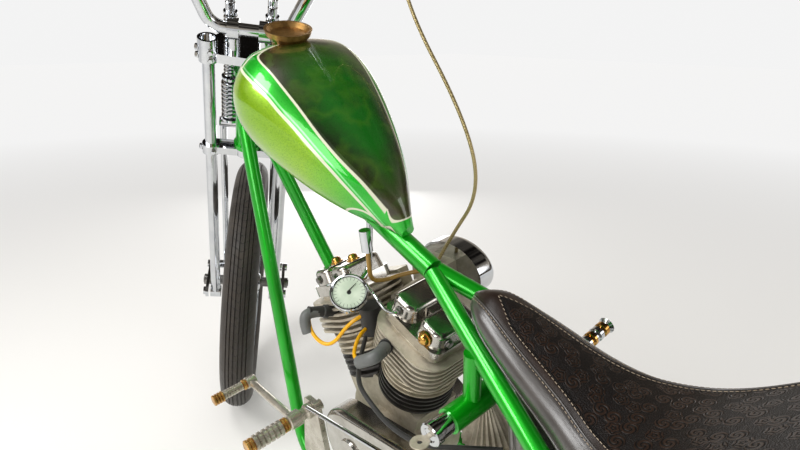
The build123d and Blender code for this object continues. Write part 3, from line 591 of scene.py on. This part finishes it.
def turnedPiece(name, outline, steps, finish, body, place, closed=False):
    bm = bmesh.new()
    lathe(bm, outline, steps, closed=closed)
    return addPiece(name, bm, finish, body, place)


def towards(origin, direction):
    # a place whose Z looks along a direction
    return shift(origin) @ Vector(direction).to_track_quat("Z", "Y").to_matrix().to_4x4()


def heldCord(name, points, diameter, finish, bentTo=None):
    # a cord held at both ends, by its route in the upright motorcycle's frame
    curve = bpy.data.curves.new(name, "CURVE")
    curve.dimensions = "3D"
    curve.bevel_depth = diameter / 2
    curve.bevel_resolution = 4
    curve.resolution_u = 10
    curve.use_fill_caps = True
    spline = curve.splines.new("NURBS")
    spline.points.add(len(points) - 1)
    for knot, point in zip(spline.points, points):
        knot.co = (*(parkPlace @ Vector(point)), 1)
    spline.order_u = 3
    spline.use_endpoint_u = True
    route = newObject(name + "Route", curve)
    bpy.context.view_layer.update()
    mesh = bpy.data.meshes.new_from_object(route)
    bpy.data.objects.remove(route)
    mesh.shade_smooth()
    mesh.materials.clear()
    piece = setPiece(name, mesh, finish)
    if bentTo:
        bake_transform(piece)
    else:
        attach(piece, "frame")
    return piece


def rod(bm, place, radius, length, sides, endRadius=None):
    # a capped rod along the place's Z, tapered where its end has another radius
    bmesh.ops.create_cone(
        bm, cap_ends=True, segments=sides, radius1=radius, radius2=endRadius or radius, depth=length,
        matrix=place,
    )


# Tyres: the carcass with lengthwise ribs round its crown. Grooves, their width and bevel, and the
# crown's edge are turns round the tube, in degrees.
crownEdge = 46
grooveBevel = 0.8
tyres = {
    "front": {
        "radius": 0.347, "tube": 0.041, "bead": 0.027, "seat": 0.267, "wall": 0.009, "place": frontWheelPlace,
        "body": "front_wheel", "grooves": (-36, -22, -8, 8, 22, 36), "grooveWidth": 3.4, "deep": 0.003,
    },
    "rear": {
        "radius": 0.330, "tube": 0.063, "bead": 0.043, "seat": 0.207, "wall": 0.009, "place": rearWheelPlace,
        "body": "rear_wheel", "grooves": (-40, -27, -14, 0, 14, 27, 40), "grooveWidth": 3.6, "deep": 0.004,
    },
}


def tyre(name, settings):
    middle = settings["radius"] - settings["tube"]
    tube, bead, seat, wall = settings["tube"], settings["bead"], settings["seat"], settings["wall"]
    lip = degrees(atan2(bead, -sqrt(tube**2 - bead**2)))
    angles = {}
    for groove in settings["grooves"]:
        wide = settings["grooveWidth"] / 2
        for turn, depth in ((-wide - grooveBevel, 0), (-wide, 1), (wide, 1), (wide + grooveBevel, 0)):
            angles[groove + turn] = depth * settings["deep"]
    for step in range(13):
        turn = crownEdge + (lip - crownEdge) * step / 12
        angles[turn] = 0
        angles[-turn] = 0
    outline = []
    for turn in sorted(angles):
        reach = tube - angles[turn]
        outline.append((middle + reach * cos(radians(turn)), reach * sin(radians(turn))))
    outline += [(seat, bead), (seat, bead - wall)]
    for step in range(9):
        turn = radians(150 - 300 * step / 8)
        outline.append((middle + (tube - wall) * cos(turn), (tube - wall) * sin(turn)))
    outline += [(seat, wall - bead), (seat, -bead)]
    piece = turnedPiece(
        name + "Tyre", outline, 120, name + "TyreRubber", settings["body"],
        settings["place"] @ quarterTurn, closed=True,
    )
    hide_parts(name + "_tyre")


for name, settings in tyres.items():
    tyre(name, settings)
print("tyres made")


# Fork springs: round wire wound about the two rods
springs = {
    "forward": 0.050,
    "aside": 0.041,
    "turnSteps": 20,
    # foot, top, number of coils, outer radius and wire radius
    "windings": (
        (-0.0565, 0.0415, 9, 0.021, 0.0042),
        (0.0475, 0.1175, 8, 0.015, 0.0032),
        (0.1375, 0.1895, 6, 0.014, 0.0032),
    ),
}


def coilSpring(bm, side, foot, top, coils, outer, wire):
    steps = springs["turnSteps"]
    radius = outer - wire
    middle = Vector((springs["forward"], side * springs["aside"], 0))
    profile = bmesh.ops.create_circle(bm, segments=8, radius=wire)["verts"]
    start = shift(middle + Vector((radius, 0, foot + wire)))
    bmesh.ops.transform(bm, verts=profile, matrix=start @ quarterTurn)
    edges = list({edge for vert in profile for edge in vert.link_edges})
    bmesh.ops.spin(
        bm, geom=profile + edges, cent=middle, axis=(0, 0, 1), angle=2 * pi * coils,
        steps=steps * coils, dvec=(0, 0, (top - foot - 2 * wire) / steps / coils),
    )


bm = bmesh.new()
for side in (1, -1):
    for winding in springs["windings"]:
        coilSpring(bm, side, *winding)
bmesh.ops.holes_fill(bm, edges=[edge for edge in bm.edges if edge.is_boundary], sides=8)
piece = addPiece("forkCoils", bm, "chromePlate", "fork", forkPlace)
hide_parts("fork_springs")
print("fork springs wound")


# Ignition leads, plug boots, hoses and throttle cable, all held at both ends
cords = {
    # diameter, finish, slot and route in the upright motorcycle's frame
    "frontLead": (0.007, "yellowInsulation", "lead_yellow", (
        (0.960, 0.118, 0.560), (0.950, 0.134, 0.530), (0.905, 0.120, 0.500), (0.876, 0.084, 0.556),
        (0.868, 0.062, 0.560),
    )),
    "rearLead": (0.007, "yellowInsulation", "lead_yellow", (
        (0.748, 0.118, 0.560), (0.770, 0.136, 0.545), (0.830, 0.120, 0.520), (0.852, 0.084, 0.540),
        (0.860, 0.062, 0.536),
    )),
    # boots, bent sleeves pushed over the plugs
    "frontBoot": (0.021, "greySleeve", "rubber", (
        (0.954, 0.090, 0.549), (0.961, 0.122, 0.561), (0.957, 0.134, 0.545), (0.950, 0.134, 0.526),
    )),
    "rearBoot": (0.023, "greySleeve", "rubber", (
        (0.771, 0.090, 0.549), (0.747, 0.121, 0.562), (0.757, 0.134, 0.556), (0.782, 0.136, 0.541),
    )),
    # breather from the cases to the oil tank
    "breatherHose": (0.0085, "blackRubber", "rubber", (
        (0.862, 0.066, 0.518), (0.838, 0.104, 0.494), (0.792, 0.140, 0.494), (0.751, 0.150, 0.486),
        (0.700, 0.150, 0.462), (0.645, 0.134, 0.446), (0.595, 0.084, 0.440), (0.552, 0.050, 0.440),
    )),
    # oil feed between the two rocker boxes
    "rockerOilLine": (0.0055, "chromePlate", "chrome", (
        (0.966, 0.052, 0.590), (0.962, 0.072, 0.592), (0.930, 0.080, 0.612), (0.860, 0.056, 0.640),
        (0.800, 0.074, 0.632), (0.772, 0.072, 0.606), (0.768, 0.052, 0.602),
    )),
    # fuel line from the tap to the carburettor
    "fuelLine": (0.0085, "amberHose", "lead_yellow", (
        (0.846, 0.044, 0.694), (0.845, 0.046, 0.664), (0.856, 0.040, 0.628), (0.868, 0.0, 0.606),
        (0.868, -0.05, 0.600), (0.864, -0.092, 0.588),
    )),
}
laid = {
    name: heldCord(name, route, diameter, finish)
    for name, (diameter, finish, slot, route) in cords.items()
}
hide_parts("plug_leads")

# throttle cable: out of the carburettor, up beside the tank and into the right grip
gripEnd = parkPlace.inverted() @ forkPlace @ Vector((-0.1112, -0.2458, 0.4723))
cableRoute = (
    (0.858, -0.122, 0.597), (0.830, -0.136, 0.650), (0.782, -0.176, 0.740), (0.820, -0.190, 0.865),
    (0.980, -0.210, 1.070), (1.010, -0.238, 1.200), tuple(gripEnd),
)
cable = heldCord("throttleCable", cableRoute, 0.007, "goldBraid", bentTo="fork")
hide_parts("throttle_cable")
print("leads, boots, hoses and cable laid")


# Seat: a leather roll round a tooled top panel
seat = {
    # forward, bottom height, half width at the foot, seam height, half width at the seam, crest height
    "sections": (
        (0.130, 0.664, 0.124, 0.724, 0.108, 0.736),
        (0.210, 0.602, 0.132, 0.650, 0.116, 0.660),
        (0.300, 0.540, 0.130, 0.594, 0.106, 0.604),
        (0.376, 0.536, 0.106, 0.584, 0.080, 0.595),
        (0.439, 0.557, 0.082, 0.602, 0.057, 0.613),
        (0.531, 0.598, 0.060, 0.642, 0.039, 0.652),
        (0.590, 0.624, 0.042, 0.667, 0.025, 0.675),
        (0.620, 0.642, 0.026, 0.667, 0.014, 0.672),
        (0.636, 0.652, 0.009, 0.661, 0.005, 0.664),
    ),
    "stations": 96,
    "rollPoints": 9,
    "topPoints": 12,
    "bulge": 0.0105,
    "seamDeep": 0.0022,
    "stitchPitch": 0.0062,
    # the tooled panel's border lies this far inside the seams, and further in at the nose
    "border": 0.0105,
    "noseFrom": 0.545,
    "noseTaper": 0.36,
}


def seatSection(forward):
    rows = seat["sections"]
    for before, after in zip(rows, rows[1:]):
        if forward <= after[0]:
            break
    share = (forward - before[0]) / (after[0] - before[0])
    index = rows.index(before)
    earlier, later = rows[max(index - 1, 0)], rows[min(index + 2, len(rows) - 1)]
    values = []
    for column in range(1, 6):
        a, b, c, d = earlier[column], before[column], after[column], later[column]
        inSlope = (c - a) / (after[0] - earlier[0]) * (after[0] - before[0])
        outSlope = (d - b) / (later[0] - before[0]) * (after[0] - before[0])
        cube, square = share**3, share**2
        values.append(
            (2 * cube - 3 * square + 1) * b + (cube - 2 * square + share) * inSlope
            + (3 * square - 2 * cube) * c + (cube - square) * outSlope
        )
    return values


def seatRing(forward):
    # one half of a section from the bottom's middle up the roll and over to the crest
    bottom, foot, seam, width, crest = seatSection(forward)
    points = [(0, bottom), (0.5 * foot, bottom), (foot - 0.006, bottom)]
    count = seat["rollPoints"]
    outward = Vector((seam - bottom, foot - width)).normalized()
    for step in range(count + 1):
        share = step / count
        swell = seat["bulge"] * min(1, foot / 0.04) * sin(pi * share) ** 0.8 if 0 < share < 1 else 0
        points.append((
            foot + (width - foot) * share + outward.x * swell,
            bottom + 0.004 + (seam - bottom - 0.004) * share + outward.y * swell,
        ))
    points[-1] = (width + 0.001, seam - seat["seamDeep"])
    count = seat["topPoints"]
    for step in range(1, count + 1):
        share = step / count
        points.append((width * (1 - share), seam + (crest - seam) * sin(share * pi / 2) + 0.0015))
    return points


def buildSeat():
    half = len(seatRing(0.3))
    around = 2 * half - 2
    stations = seat["stations"]
    first, last = seat["sections"][0][0] + 0.002, seat["sections"][-1][0] - 0.001
    bm = bmesh.new()
    grid = bmesh.ops.create_grid(bm, x_segments=stations, y_segments=around, size=1)["verts"]
    for vert in grid:
        column = round((vert.co.x + 1) / 2 * stations)
        row = round((vert.co.y + 1) / 2 * around) % around
        forward = first + (last - first) * column / stations
        ring = seatRing(forward)
        side, height = ring[row] if row < half else ring[around - row]
        vert.co = (forward, side if row < half else -side, height)
    inward = bm.loops.layers.uv.new("panelPlace")
    for face in bm.faces:
        middle = face.calc_center_median()
        seam, width = seatSection(middle.x)[2:4]
        face.material_index = 1 if abs(middle.y) < width and middle.z > seam - 0.0005 else 0
        for loop in face.loops:
            loop[inward].uv = (seatSection(loop.vert.co.x)[3] - abs(loop.vert.co.y), loop.vert.co.x)
    bmesh.ops.remove_doubles(bm, verts=bm.verts, dist=0.00005)
    bmesh.ops.holes_fill(bm, edges=[edge for edge in bm.edges if edge.is_boundary], sides=200)
    return bm


def pores(point, perMetre):
    # pores of a full-grain hide, or the beaten ground of its tooling
    return addNode(point, "TexVoronoi", {"Scale": perMetre}, {"Vector": point}).outputs[0]


def smoothLeather():
    # the roll: smooth black-brown hide, waxed to a broad shine
    shader = startMaterial("smoothLeather", {"Coat Weight": 0.9, "Coat Roughness": 0.3})
    point = objectPoint(shader)
    feed(shader, "Base Color", mottled(point, 40, "45403d", "2c2724", 5, 0.6))
    feed(shader, "Roughness", spread(grain(point, 22), 0.28, 0.42))
    bump(shader, pores(point, 800.0), 0.05)


# Tooling of the seat's top, in its own flowers and scrolls
tooling = {
    "cellsPerMetre": 44.0, "petals": 5.0, "petalDepth": 0.16, "flowerRings": 210.0, "scrollRings": 180.0,
}


def tooledLeather():
    # the top: a smooth brown border, and inside it flowers and scrolls cut and beaten into the hide, the low
    # places painted near-black as their shade
    shader = startMaterial("tooledLeather", {"Specular IOR Level": 0.3})
    point = objectPoint(shader, parkPlace)
    forward, lateral = axes(point)[:2]
    flat = addNode(shader, "CombineXYZ", None, {"X": forward, "Y": lateral}).outputs[0]
    settings = {"voronoi_dimensions": "2D", "Scale": tooling["cellsPerMetre"], "Randomness": 0.75}
    cells = addNode(shader, "TexVoronoi", settings, {"Vector": flat})
    links = {0: flat, 1: cells.outputs["Position"]}
    arm = addNode(shader, "VectorMath", {"operation": "SUBTRACT"}, links).outputs[0]
    armX, armY = axes(arm)[:2]
    turn = maths("ARCTAN2", armY, armX)
    reach = distanceOf(armX, armY)
    wave = maths("COSINE", times(turn, tooling["petals"]))
    petals = plus(1.0, times(wave, tooling["petalDepth"]))
    flower = times(times(reach, petals), tooling["flowerRings"])
    scroll = plus(maths("DIVIDE", turn, pi), times(reach, tooling["scrollRings"]))
    isScroll = spread(axes(cells.outputs["Color"])[0], 0, 1, 0.49, 0.51)
    chosen = blendValue(isScroll, flower, scroll)
    ridge = absolute(minus(maths("FRACT", chosen), 0.5))
    raised = spread(ridge, 0, 1, 0.05, 0.30)
    stipple = pores(point, 520.0)
    ground = spread(reach, 0, 1, 0.0096, 0.0108)
    carved = blendValue(ground, raised, times(stipple, 0.5))

    # the border along the seams, wider at the nose, and its two cut lines
    inward, along = axes(addNode(shader, "UVMap", {"uv_map": "panelPlace"}).outputs[0])[:2]
    taper = times(larger(minus(along, seat["noseFrom"]), 0.0), seat["noseTaper"])
    within = minus(inward, plus(taper, seat["border"]))
    tooled = spread(within, 0, 1, -0.0003, 0.0003)
    cutLines = larger(stripe(within, 0.0, 0.0007), stripe(within, 0.0026, 0.0005))
    height = minus(blendValue(tooled, 1.0, carved), cutLines)

    border = mottled(point, 50, "2c1f17", "1b130f", 5, 0.6)
    worn = mottled(point, 36, "2e1e15", "21160f", 4, 0.5)
    # painted shade: the cuts, cut lines and beaten ground go near-black by their depth, the raised tooling worn
    # brown
    cut = blendColour(spread(height, 0, 1, 0.1, 0.9), "040202", worn)
    feed(shader, "Base Color", blendColour(tooled, border, cut))
    feed(shader, "Roughness", spread(height, 0.6, 0.36, 0.0, 1.0))
    bump(shader, plus(height, times(pores(point, 800.0), 0.06)), 1.3)


smoothLeather()
tooledLeather()
hides = ("smoothLeather", "tooledLeather")
leather = addPiece("seatLeather", buildSeat(), hides, "frame", parkPlace)
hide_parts("seat")


# Welts along the seams and the double piping at the foot, each one cord round the nose
def seatLine(across, rise):
    # points up the left side and down the right, by functions of a section
    left = []
    for step in range(61):
        forward = 0.134 + (0.634 - 0.134) * step / 60
        section = seatSection(forward)
        left.append((forward, across(section), rise(section)))
    return left + [(forward, -lateral, height) for forward, lateral, height in reversed(left)]


welts = {
    "seamWelt": (lambda s: s[3] + 0.0012, lambda s: s[2] - 0.0002, 0.0032),
    "footPiping": (lambda s: s[1] + 0.0006, lambda s: s[0] + 0.0042, 0.0042),
    "footBinding": (lambda s: s[1] - 0.0012, lambda s: s[0] + 0.0006, 0.0034),
}
for name, (across, rise, diameter) in welts.items():
    heldCord(name, seatLine(across, rise), diameter, "smoothLeather")

# stitches beside the seams and along the tooled panel's border
stitch = {"from": 0.14, "to": 0.63, "radius": 0.0006, "length": 0.0042, "belowSeam": (-0.0046, -0.0006)}
stitches = bmesh.new()
forward = stitch["from"]
while forward < stitch["to"]:
    seam, width, crest = seatSection(forward)[2:]
    ahead = seatSection(forward + 0.004)
    inset = seat["border"] - 0.0016 + seat["noseTaper"] * max(0, forward - seat["noseFrom"])
    rows = [stitch["belowSeam"]]
    if inset < width - 0.002:
        rows.append((inset, (crest - seam) * sin(inset / width * pi / 2) + 0.0019))
    for side in (1, -1):
        along = Vector((0.004, side * (ahead[3] - width), ahead[2] - seam)).normalized()
        for inward, rise in rows:
            spot = towards((forward, side * (width - inward), seam + rise), along)
            rod(stitches, spot, stitch["radius"], stitch["length"], 5)
    forward += seat["stitchPitch"]
addPiece("seatStitches", stitches, "waxedThread", "frame", parkPlace)
print("seat made")


# Brass domes: nuts on the rocker boxes and screws in the air cleaner's cover
domeOutline = (
    (0.0001, 0.0095), (0.005, 0.009), (0.0085, 0.0065), (0.0098, 0.003), (0.0105, 0.0),
    (0.0135, -0.0005), (0.0135, -0.004),
)
humpTop = rockerHeight + 0.055
domes = {
    # the frame it is measured in, its place there and its direction
    "frontDomeFore": (bankPlaces["front"], (0.034, 0, humpTop), (0, 0, 1)),
    "frontDomeAft": (bankPlaces["front"], (-0.034, 0, humpTop), (0, 0, 1)),
    "rearDome": (bankPlaces["rear"], (-0.034, 0.053, 0.325), (0, 1, 0)),
    "coverScrewFore": (parkPlace, (0.897, -0.1942, 0.572), (0, -1, 0)),
    "coverScrewAft": (parkPlace, (0.807, -0.1942, 0.572), (0, -1, 0)),
}
for name, (base, spot, direction) in domes.items():
    turnedPiece(name, domeOutline, 28, "polishedBrass", "frame", base @ towards(spot, direction))
print("domes made")


# Gauge: pale dial with plain ticks, a needle and a chromium bezel
gauge = {
    "place": (0.850, 0.092, 0.628),
    "facing": (-0.55, 0.35, 0.75),
    "dial": ((0.0001, 0.0036), (0.0292, 0.0036), (0.0292, 0.0031)),
    "bezel": (
        (0.0285, 0.0052), (0.0302, 0.0072), (0.0325, 0.0068), (0.0338, 0.004), (0.0338, -0.004),
        (0.0325, -0.005),
    ),
    "tickDegrees": 15,
    # middle and half width of the ticks and of the printed ring, and the hub's radius
    "ticks": (0.0245, 0.0028),
    "ring": (0.0282, 0.0005),
    "hub": 0.004,
    "needleDegrees": -52,
    "needleMiddle": (0.006, 0.0075, 0.0046),
}
gaugePlace = parkPlace @ towards(gauge["place"], gauge["facing"])


def dialFace():
    # enamelled dial: greenish white, with plain ticks all round and a hub
    shader = startMaterial("dialFace", {"Roughness": 0.35})
    across, up = axes(objectPoint(shader, gaugePlace))[:2]
    reach = distanceOf(across, up)
    turn = maths("DIVIDE", maths("ARCTAN2", up, across), radians(gauge["tickDegrees"]))
    tick = spread(absolute(minus(maths("FRACT", turn), 0.5)), 0, 1, 0.44, 0.46)
    ink = larger(times(tick, stripe(reach, *gauge["ticks"])), stripe(reach, *gauge["ring"]))
    ink = larger(ink, inside(minus(reach, gauge["hub"])))
    paper = mottled(objectPoint(shader), 12, "c9d4c0", "a9b8a2", 4, 0.5)
    feed(shader, "Base Color", blendColour(ink, paper, "1c1f1c"))


def clearGlass(name, colour="ffffff", roughness=0.02):
    # cover glass, thin, with a trace of wiping
    settings = {"Base Color": linear(colour), "Transmission Weight": 1.0, "IOR": 1.45}
    shader = startMaterial(name, settings)
    wiped = spread(grain(objectPoint(shader), 30, 4), roughness, roughness + 0.05)
    feed(shader, "Roughness", wiped)


dialFace()
clearGlass("clearGlass")
clearGlass("redGlass", "c8281a", 0.08)
turnedPiece("gaugeDial", gauge["dial"], 48, "dialFace", "frame", gaugePlace)
turnedPiece("gaugeBezel", gauge["bezel"], 48, "chromePlate", "frame", gaugePlace)
bm = bmesh.new()
pointing = rotation(radians(gauge["needleDegrees"]), "Z") @ quarterTurn.inverted()
rod(bm, shift(gauge["needleMiddle"]) @ pointing, 0.0011, 0.021, 4, 0.0004)
addPiece("gaugeNeedle", bm, "blackEnamel", "frame", gaugePlace)
print("gauge made")


# Ignition key: round bow with a hole, and its blade going into the switch
key = {
    "switchEnd": (0.600, 0.146, 0.508),
    "bezel": (
        (0.0001, 0.0030), (0.0100, 0.0035), (0.0120, 0.0060), (0.0175, 0.0060), (0.0195, 0.0040),
        (0.0195, -0.0080), (0.0170, -0.0090),
    ),
    "bow": ((0.0042, 0.0011), (0.0142, 0.0011), (0.0150, 0.0), (0.0142, -0.0011), (0.0042, -0.0011)),
    "bowHeight": 0.024,
    "blade": (0.0085, 0.002, 0.016),
    "bladeHeight": 0.009,
}
switchPlace = parkPlace @ towards(key["switchEnd"], (0, 1, 0))
turnedPiece("switchBezel", key["bezel"], 40, "chromePlate", "frame", switchPlace)
bm = bmesh.new()
lathe(bm, key["bow"], 36, closed=True)
upright = shift((0, 0, key["bowHeight"])) @ quarterTurn
bmesh.ops.transform(bm, matrix=upright, verts=bm.verts)
blade = shift((0, 0, key["bladeHeight"])) @ Matrix.Diagonal((*key["blade"], 1))
bmesh.ops.create_cube(bm, size=1, matrix=blade)
addPiece("ignitionKey", bm, "castAluminium", "frame", switchPlace)
print("key made")


# Lamp glasses: headlamp's clear dome and rim, tail lamp's red dome
lampAim = Vector((cos(rakeAngle), 0, -sin(rakeAngle)))
headPlace = forkPlace @ towards(Vector((0.096, 0, 0.010)) + 0.0782 * lampAim, lampAim)
tailAim = Vector((-0.9, 0, 0.436))
tailPlace = parkPlace @ towards(Vector((-0.238, 0, 0.600)) + 0.0382 * tailAim, tailAim)
glasses = {
    # body, place, finish, steps and outline
    "headlampGlass": ("fork", headPlace, "clearGlass", 48, (
        (0.0001, 0.011), (0.03, 0.0095), (0.05, 0.0045), (0.0588, 0.0002),
    )),
    "headlampRim": ("fork", headPlace, "chromePlate", 56, (
        (0.0585, 0.0), (0.0605, 0.0035), (0.0632, 0.0028), (0.0643, 0.0), (0.0643, -0.003),
    )),
    "tailLampGlass": ("frame", tailPlace, "redGlass", 40, (
        (0.0001, 0.013), (0.020, 0.0115), (0.031, 0.006), (0.0355, 0.0002),
    )),
}
for name, (body, place, finish, steps, outline) in glasses.items():
    turnedPiece(name, outline, steps, finish, body, place)

# Bolts in the fork's clamps, backwards and outwards, one pair below and two above
clampBolts = {
    "heights": (0.120, 0.137, -0.107),
    # forward, aside, across the flats and height of the head
    "back": (-0.0228, 0.072, 0.010, 0.0055),
    "side": (-0.004, 0.0983, 0.011, 0.006),
}
bm = bmesh.new()
for side in (1, -1):
    for height in clampBolts["heights"]:
        for way, direction in (("back", (-1, 0, 0)), ("side", (0, side, 0))):
            forward, aside, flats, head = clampBolts[way]
            hexBolt(bm, towards((forward, side * aside, height), direction), flats, head)
addPiece("forkBolts", bm, "chromePlate", "fork", forkPlace)

# Bolts round the rocker boxes: bank, place along and across it, and direction
rockerBolts = {
    "height": 0.326,
    "across": 0.012,
    "head": 0.006,
    "places": (
        ("rear", 0.034, 0.0505, (0, 1, 0)), ("front", 0.034, 0.0505, (0, 1, 0)),
        ("front", -0.034, 0.0505, (0, 1, 0)), ("rear", -0.0635, 0.026, (-1, 0, 0)),
        ("rear", -0.0635, -0.026, (-1, 0, 0)), ("front", 0.0635, 0.026, (1, 0, 0)),
        ("front", 0.0635, -0.026, (1, 0, 0)),
    ),
}
bm = bmesh.new()
for bank, along, lateral, direction in rockerBolts["places"]:
    onBank = towards((along, lateral, rockerBolts["height"]), direction)
    place = parkPlace.inverted() @ bankPlaces[bank] @ onBank
    hexBolt(bm, place, rockerBolts["across"], rockerBolts["head"])
addPiece("rockerBolts", bm, "satinSteel", "frame", parkPlace)
print("lamp glasses and bolts made")


# Drive chain's pins, one at each link of the loop, standing out of both sides
chain = {
    "links": 106,
    # middle and radius of the chain's path round each sprocket
    "rear": (0.0, 0.330, 0.121),
    "front": (0.560, 0.306, 0.058),
    "sides": (0.0768, 0.0912),
    "pinRadius": 0.0025,
    "pinLength": 0.0022,
}


def onSprocket(sprocket, turn):
    forward, height, radius = chain[sprocket]
    return Vector((forward + radius * cos(turn), height + radius * sin(turn)))


def chainPoint(share):
    # a point of the loop: round the rear, along the lower run, round the front, back along the upper run
    rearX, rearZ, rearRadius = chain["rear"]
    frontX, frontZ, frontRadius = chain["front"]
    reachX, reachZ = frontX - rearX, frontZ - rearZ
    tilt = atan2(reachZ, reachX)
    apart = sqrt(reachX**2 + reachZ**2)
    wrap = asin((rearRadius - frontRadius) / apart)
    straight = sqrt(apart**2 - (rearRadius - frontRadius) ** 2)
    upper, lower = tilt + pi / 2 - wrap, tilt - pi / 2 + wrap
    rearArc, frontArc = rearRadius * (pi + 2 * wrap), frontRadius * (pi - 2 * wrap)
    along = share * (rearArc + frontArc + 2 * straight)
    if along < rearArc:
        return onSprocket("rear", upper + along / rearRadius)
    along -= rearArc
    if along < straight:
        return onSprocket("rear", lower).lerp(onSprocket("front", lower), along / straight)
    along -= straight
    if along < frontArc:
        return onSprocket("front", lower + along / frontRadius)
    along -= frontArc
    return onSprocket("front", upper).lerp(onSprocket("rear", upper), along / straight)


pins = bmesh.new()
for link in range(chain["links"]):
    forward, height = chainPoint(link / chain["links"])
    for lateral in chain["sides"]:
        place = shift((forward, lateral, height)) @ quarterTurn
        rod(pins, place, chain["pinRadius"], chain["pinLength"], 10)
addPiece("chainPins", pins, "satinSteel", "frame", parkPlace)
print("chain pins made")


# Grips: rubber ribs round each, along the handlebar's end
grips = {
    "shoulder": Vector((-0.014, 0.182, 0.452)), "end": Vector((-0.196, 0.300, 0.520)),
    "from": 0.53, "to": 1.0, "ribs": 22, "radius": 0.017, "rise": 0.0016, "halfWidth": 0.0016,
}
bm = bmesh.new()
for side in (1, -1):
    mirrored = Vector((1, side, 1))
    shoulder, end = grips["shoulder"] * mirrored, grips["end"] * mirrored
    for rib in range(grips["ribs"]):
        share = grips["from"] + (grips["to"] - grips["from"]) * rib / (grips["ribs"] - 1)
        half, low, high = grips["halfWidth"], grips["radius"] - 0.0004, grips["radius"] + grips["rise"]
        lathe(bm, [(low, -half), (high, -0.5 * half), (high, 0.5 * half), (low, half)], 32,
              towards(shoulder.lerp(end, share), end - shoulder))
addPiece("gripRibs", bm, "blackRubber", "fork", forkPlace)
print("grip ribs made")


# Camera, at the photograph's place: behind the motorcycle on its left
camera = {
    "place": (-0.732996, 0.581834, 1.039379),
    "lensMm": 27.744,
    "pitchDegrees": 17.6064,
    "headingDegrees": -40.2486,
    "rollDegrees": -0.4294,
}

lens = bpy.data.cameras.new("photoCamera")
lens.sensor_width = 36
lens.lens = camera["lensMm"]
lens.clip_start = 0.02
photoCamera = newObject("photoCamera", lens)
photoCamera.matrix_world = (
    shift(camera["place"])
    @ rotation(radians(camera["headingDegrees"] - 90), "Z")
    @ rotation(radians(90 - camera["pitchDegrees"]), "X")
    @ rotation(radians(-camera["rollDegrees"]), "Z")
)
bpy.context.scene.camera = photoCamera

# Pale floor that fades into white surroundings between two distances from the middle
studio = {"floorSize": 40, "fade": (1.0, 6.0), "floor": "e4e2de", "glow": (0.12, 0.88)}
floor = bmesh.new()
bmesh.ops.create_grid(floor, x_segments=1, y_segments=1, size=studio["floorSize"] / 2)
floorMesh = bpy.data.meshes.new("studioFloor")
floor.to_mesh(floorMesh)
studioFloor = newObject("studioFloor", floorMesh)
settings = {"Roughness": 0.8, "Emission Color": (1, 1, 1, 1)}
shader = startMaterial("studioFloorPaint", settings)
distance = distanceOf(*axes(objectPoint(shader))[:2])
feed(shader, "Emission Strength", spread(distance, *studio["glow"], *studio["fade"]))
farShade = blendColour(spread(distance, 0, 1, *studio["fade"]), studio["floor"], "000000")
feed(shader, "Base Color", farShade)
floorMesh.materials.append(finishes["studioFloorPaint"])

# Surroundings: white to the camera, soft light on the floor, and a dim room in reflections
world = bpy.data.worlds.new("studioWorld")
bpy.context.scene.world = world
world.use_nodes = True
tree = world.node_tree
tree.nodes.clear()
path = addNode(tree, "LightPath")
seen = larger(path.outputs["Is Camera Ray"], path.outputs["Is Transmission Ray"])
direction = addNode(tree, "TexCoord").outputs["Generated"]
settings = {"Scale": 1.7, "Detail": 3.0, "Roughness": 0.55}
room = addNode(tree, "TexNoise", settings, {"Vector": direction}).outputs[0]
roomColour = blendColour(spread(room, 0, 1, 0.42, 0.58), "2c2824", "d8cdbd")
ceiling = spread(axes(direction)[2], 1.0, 0.22, 0.25, 0.7)
roomLight = addNode(tree, "Background", None, {"Color": roomColour, "Strength": ceiling}).outputs[0]
softLight = addNode(tree, "Background", {"Color": (1, 0.98, 0.95, 1), "Strength": 0.55}).outputs[0]
whiteSeen = addNode(tree, "Background", {"Color": (1, 1, 1, 1), "Strength": 0.9}).outputs[0]
links = {0: path.outputs["Is Glossy Ray"], 1: softLight, 2: roomLight}
lit = addNode(tree, "MixShader", None, links).outputs[0]
sky = addNode(tree, "MixShader", None, {0: seen, 1: lit, 2: whiteSeen}).outputs[0]
addNode(tree, "OutputWorld", None, {0: sky})

lamps = {
    # place, aimed at, size in metres, power in watts
    "overheadLamp": ((0.5, 0.9, 3.1), (0.1, 0, 0.5), 0.9, 26),
    "windowLamp": ((0.9, 2.0, 2.3), (0.0, 0, 0.7), 1.1, 40),
    "leftLamp": ((-0.9, 2.6, 1.5), (0.2, 0, 0.6), 1.2, 22),
    "frontLamp": ((2.6, -1.7, 0.6), (0.4, 0, 0.5), 1.0, 12),
    "rearLamp": ((-2.4, -1.4, 1.5), (-0.2, 0, 0.6), 1.2, 12),
}
for name, (place, aim, size, power) in lamps.items():
    light = bpy.data.lights.new(name, "AREA")
    light.size = size
    light.energy = power
    lamp = newObject(name, light)
    turn = (Vector(aim) - Vector(place)).to_track_quat("-Z", "Y").to_matrix().to_4x4()
    lamp.matrix_world = shift(place) @ turn
print("camera and lamps placed")

bpy.context.scene.view_settings.view_transform = "Standard"
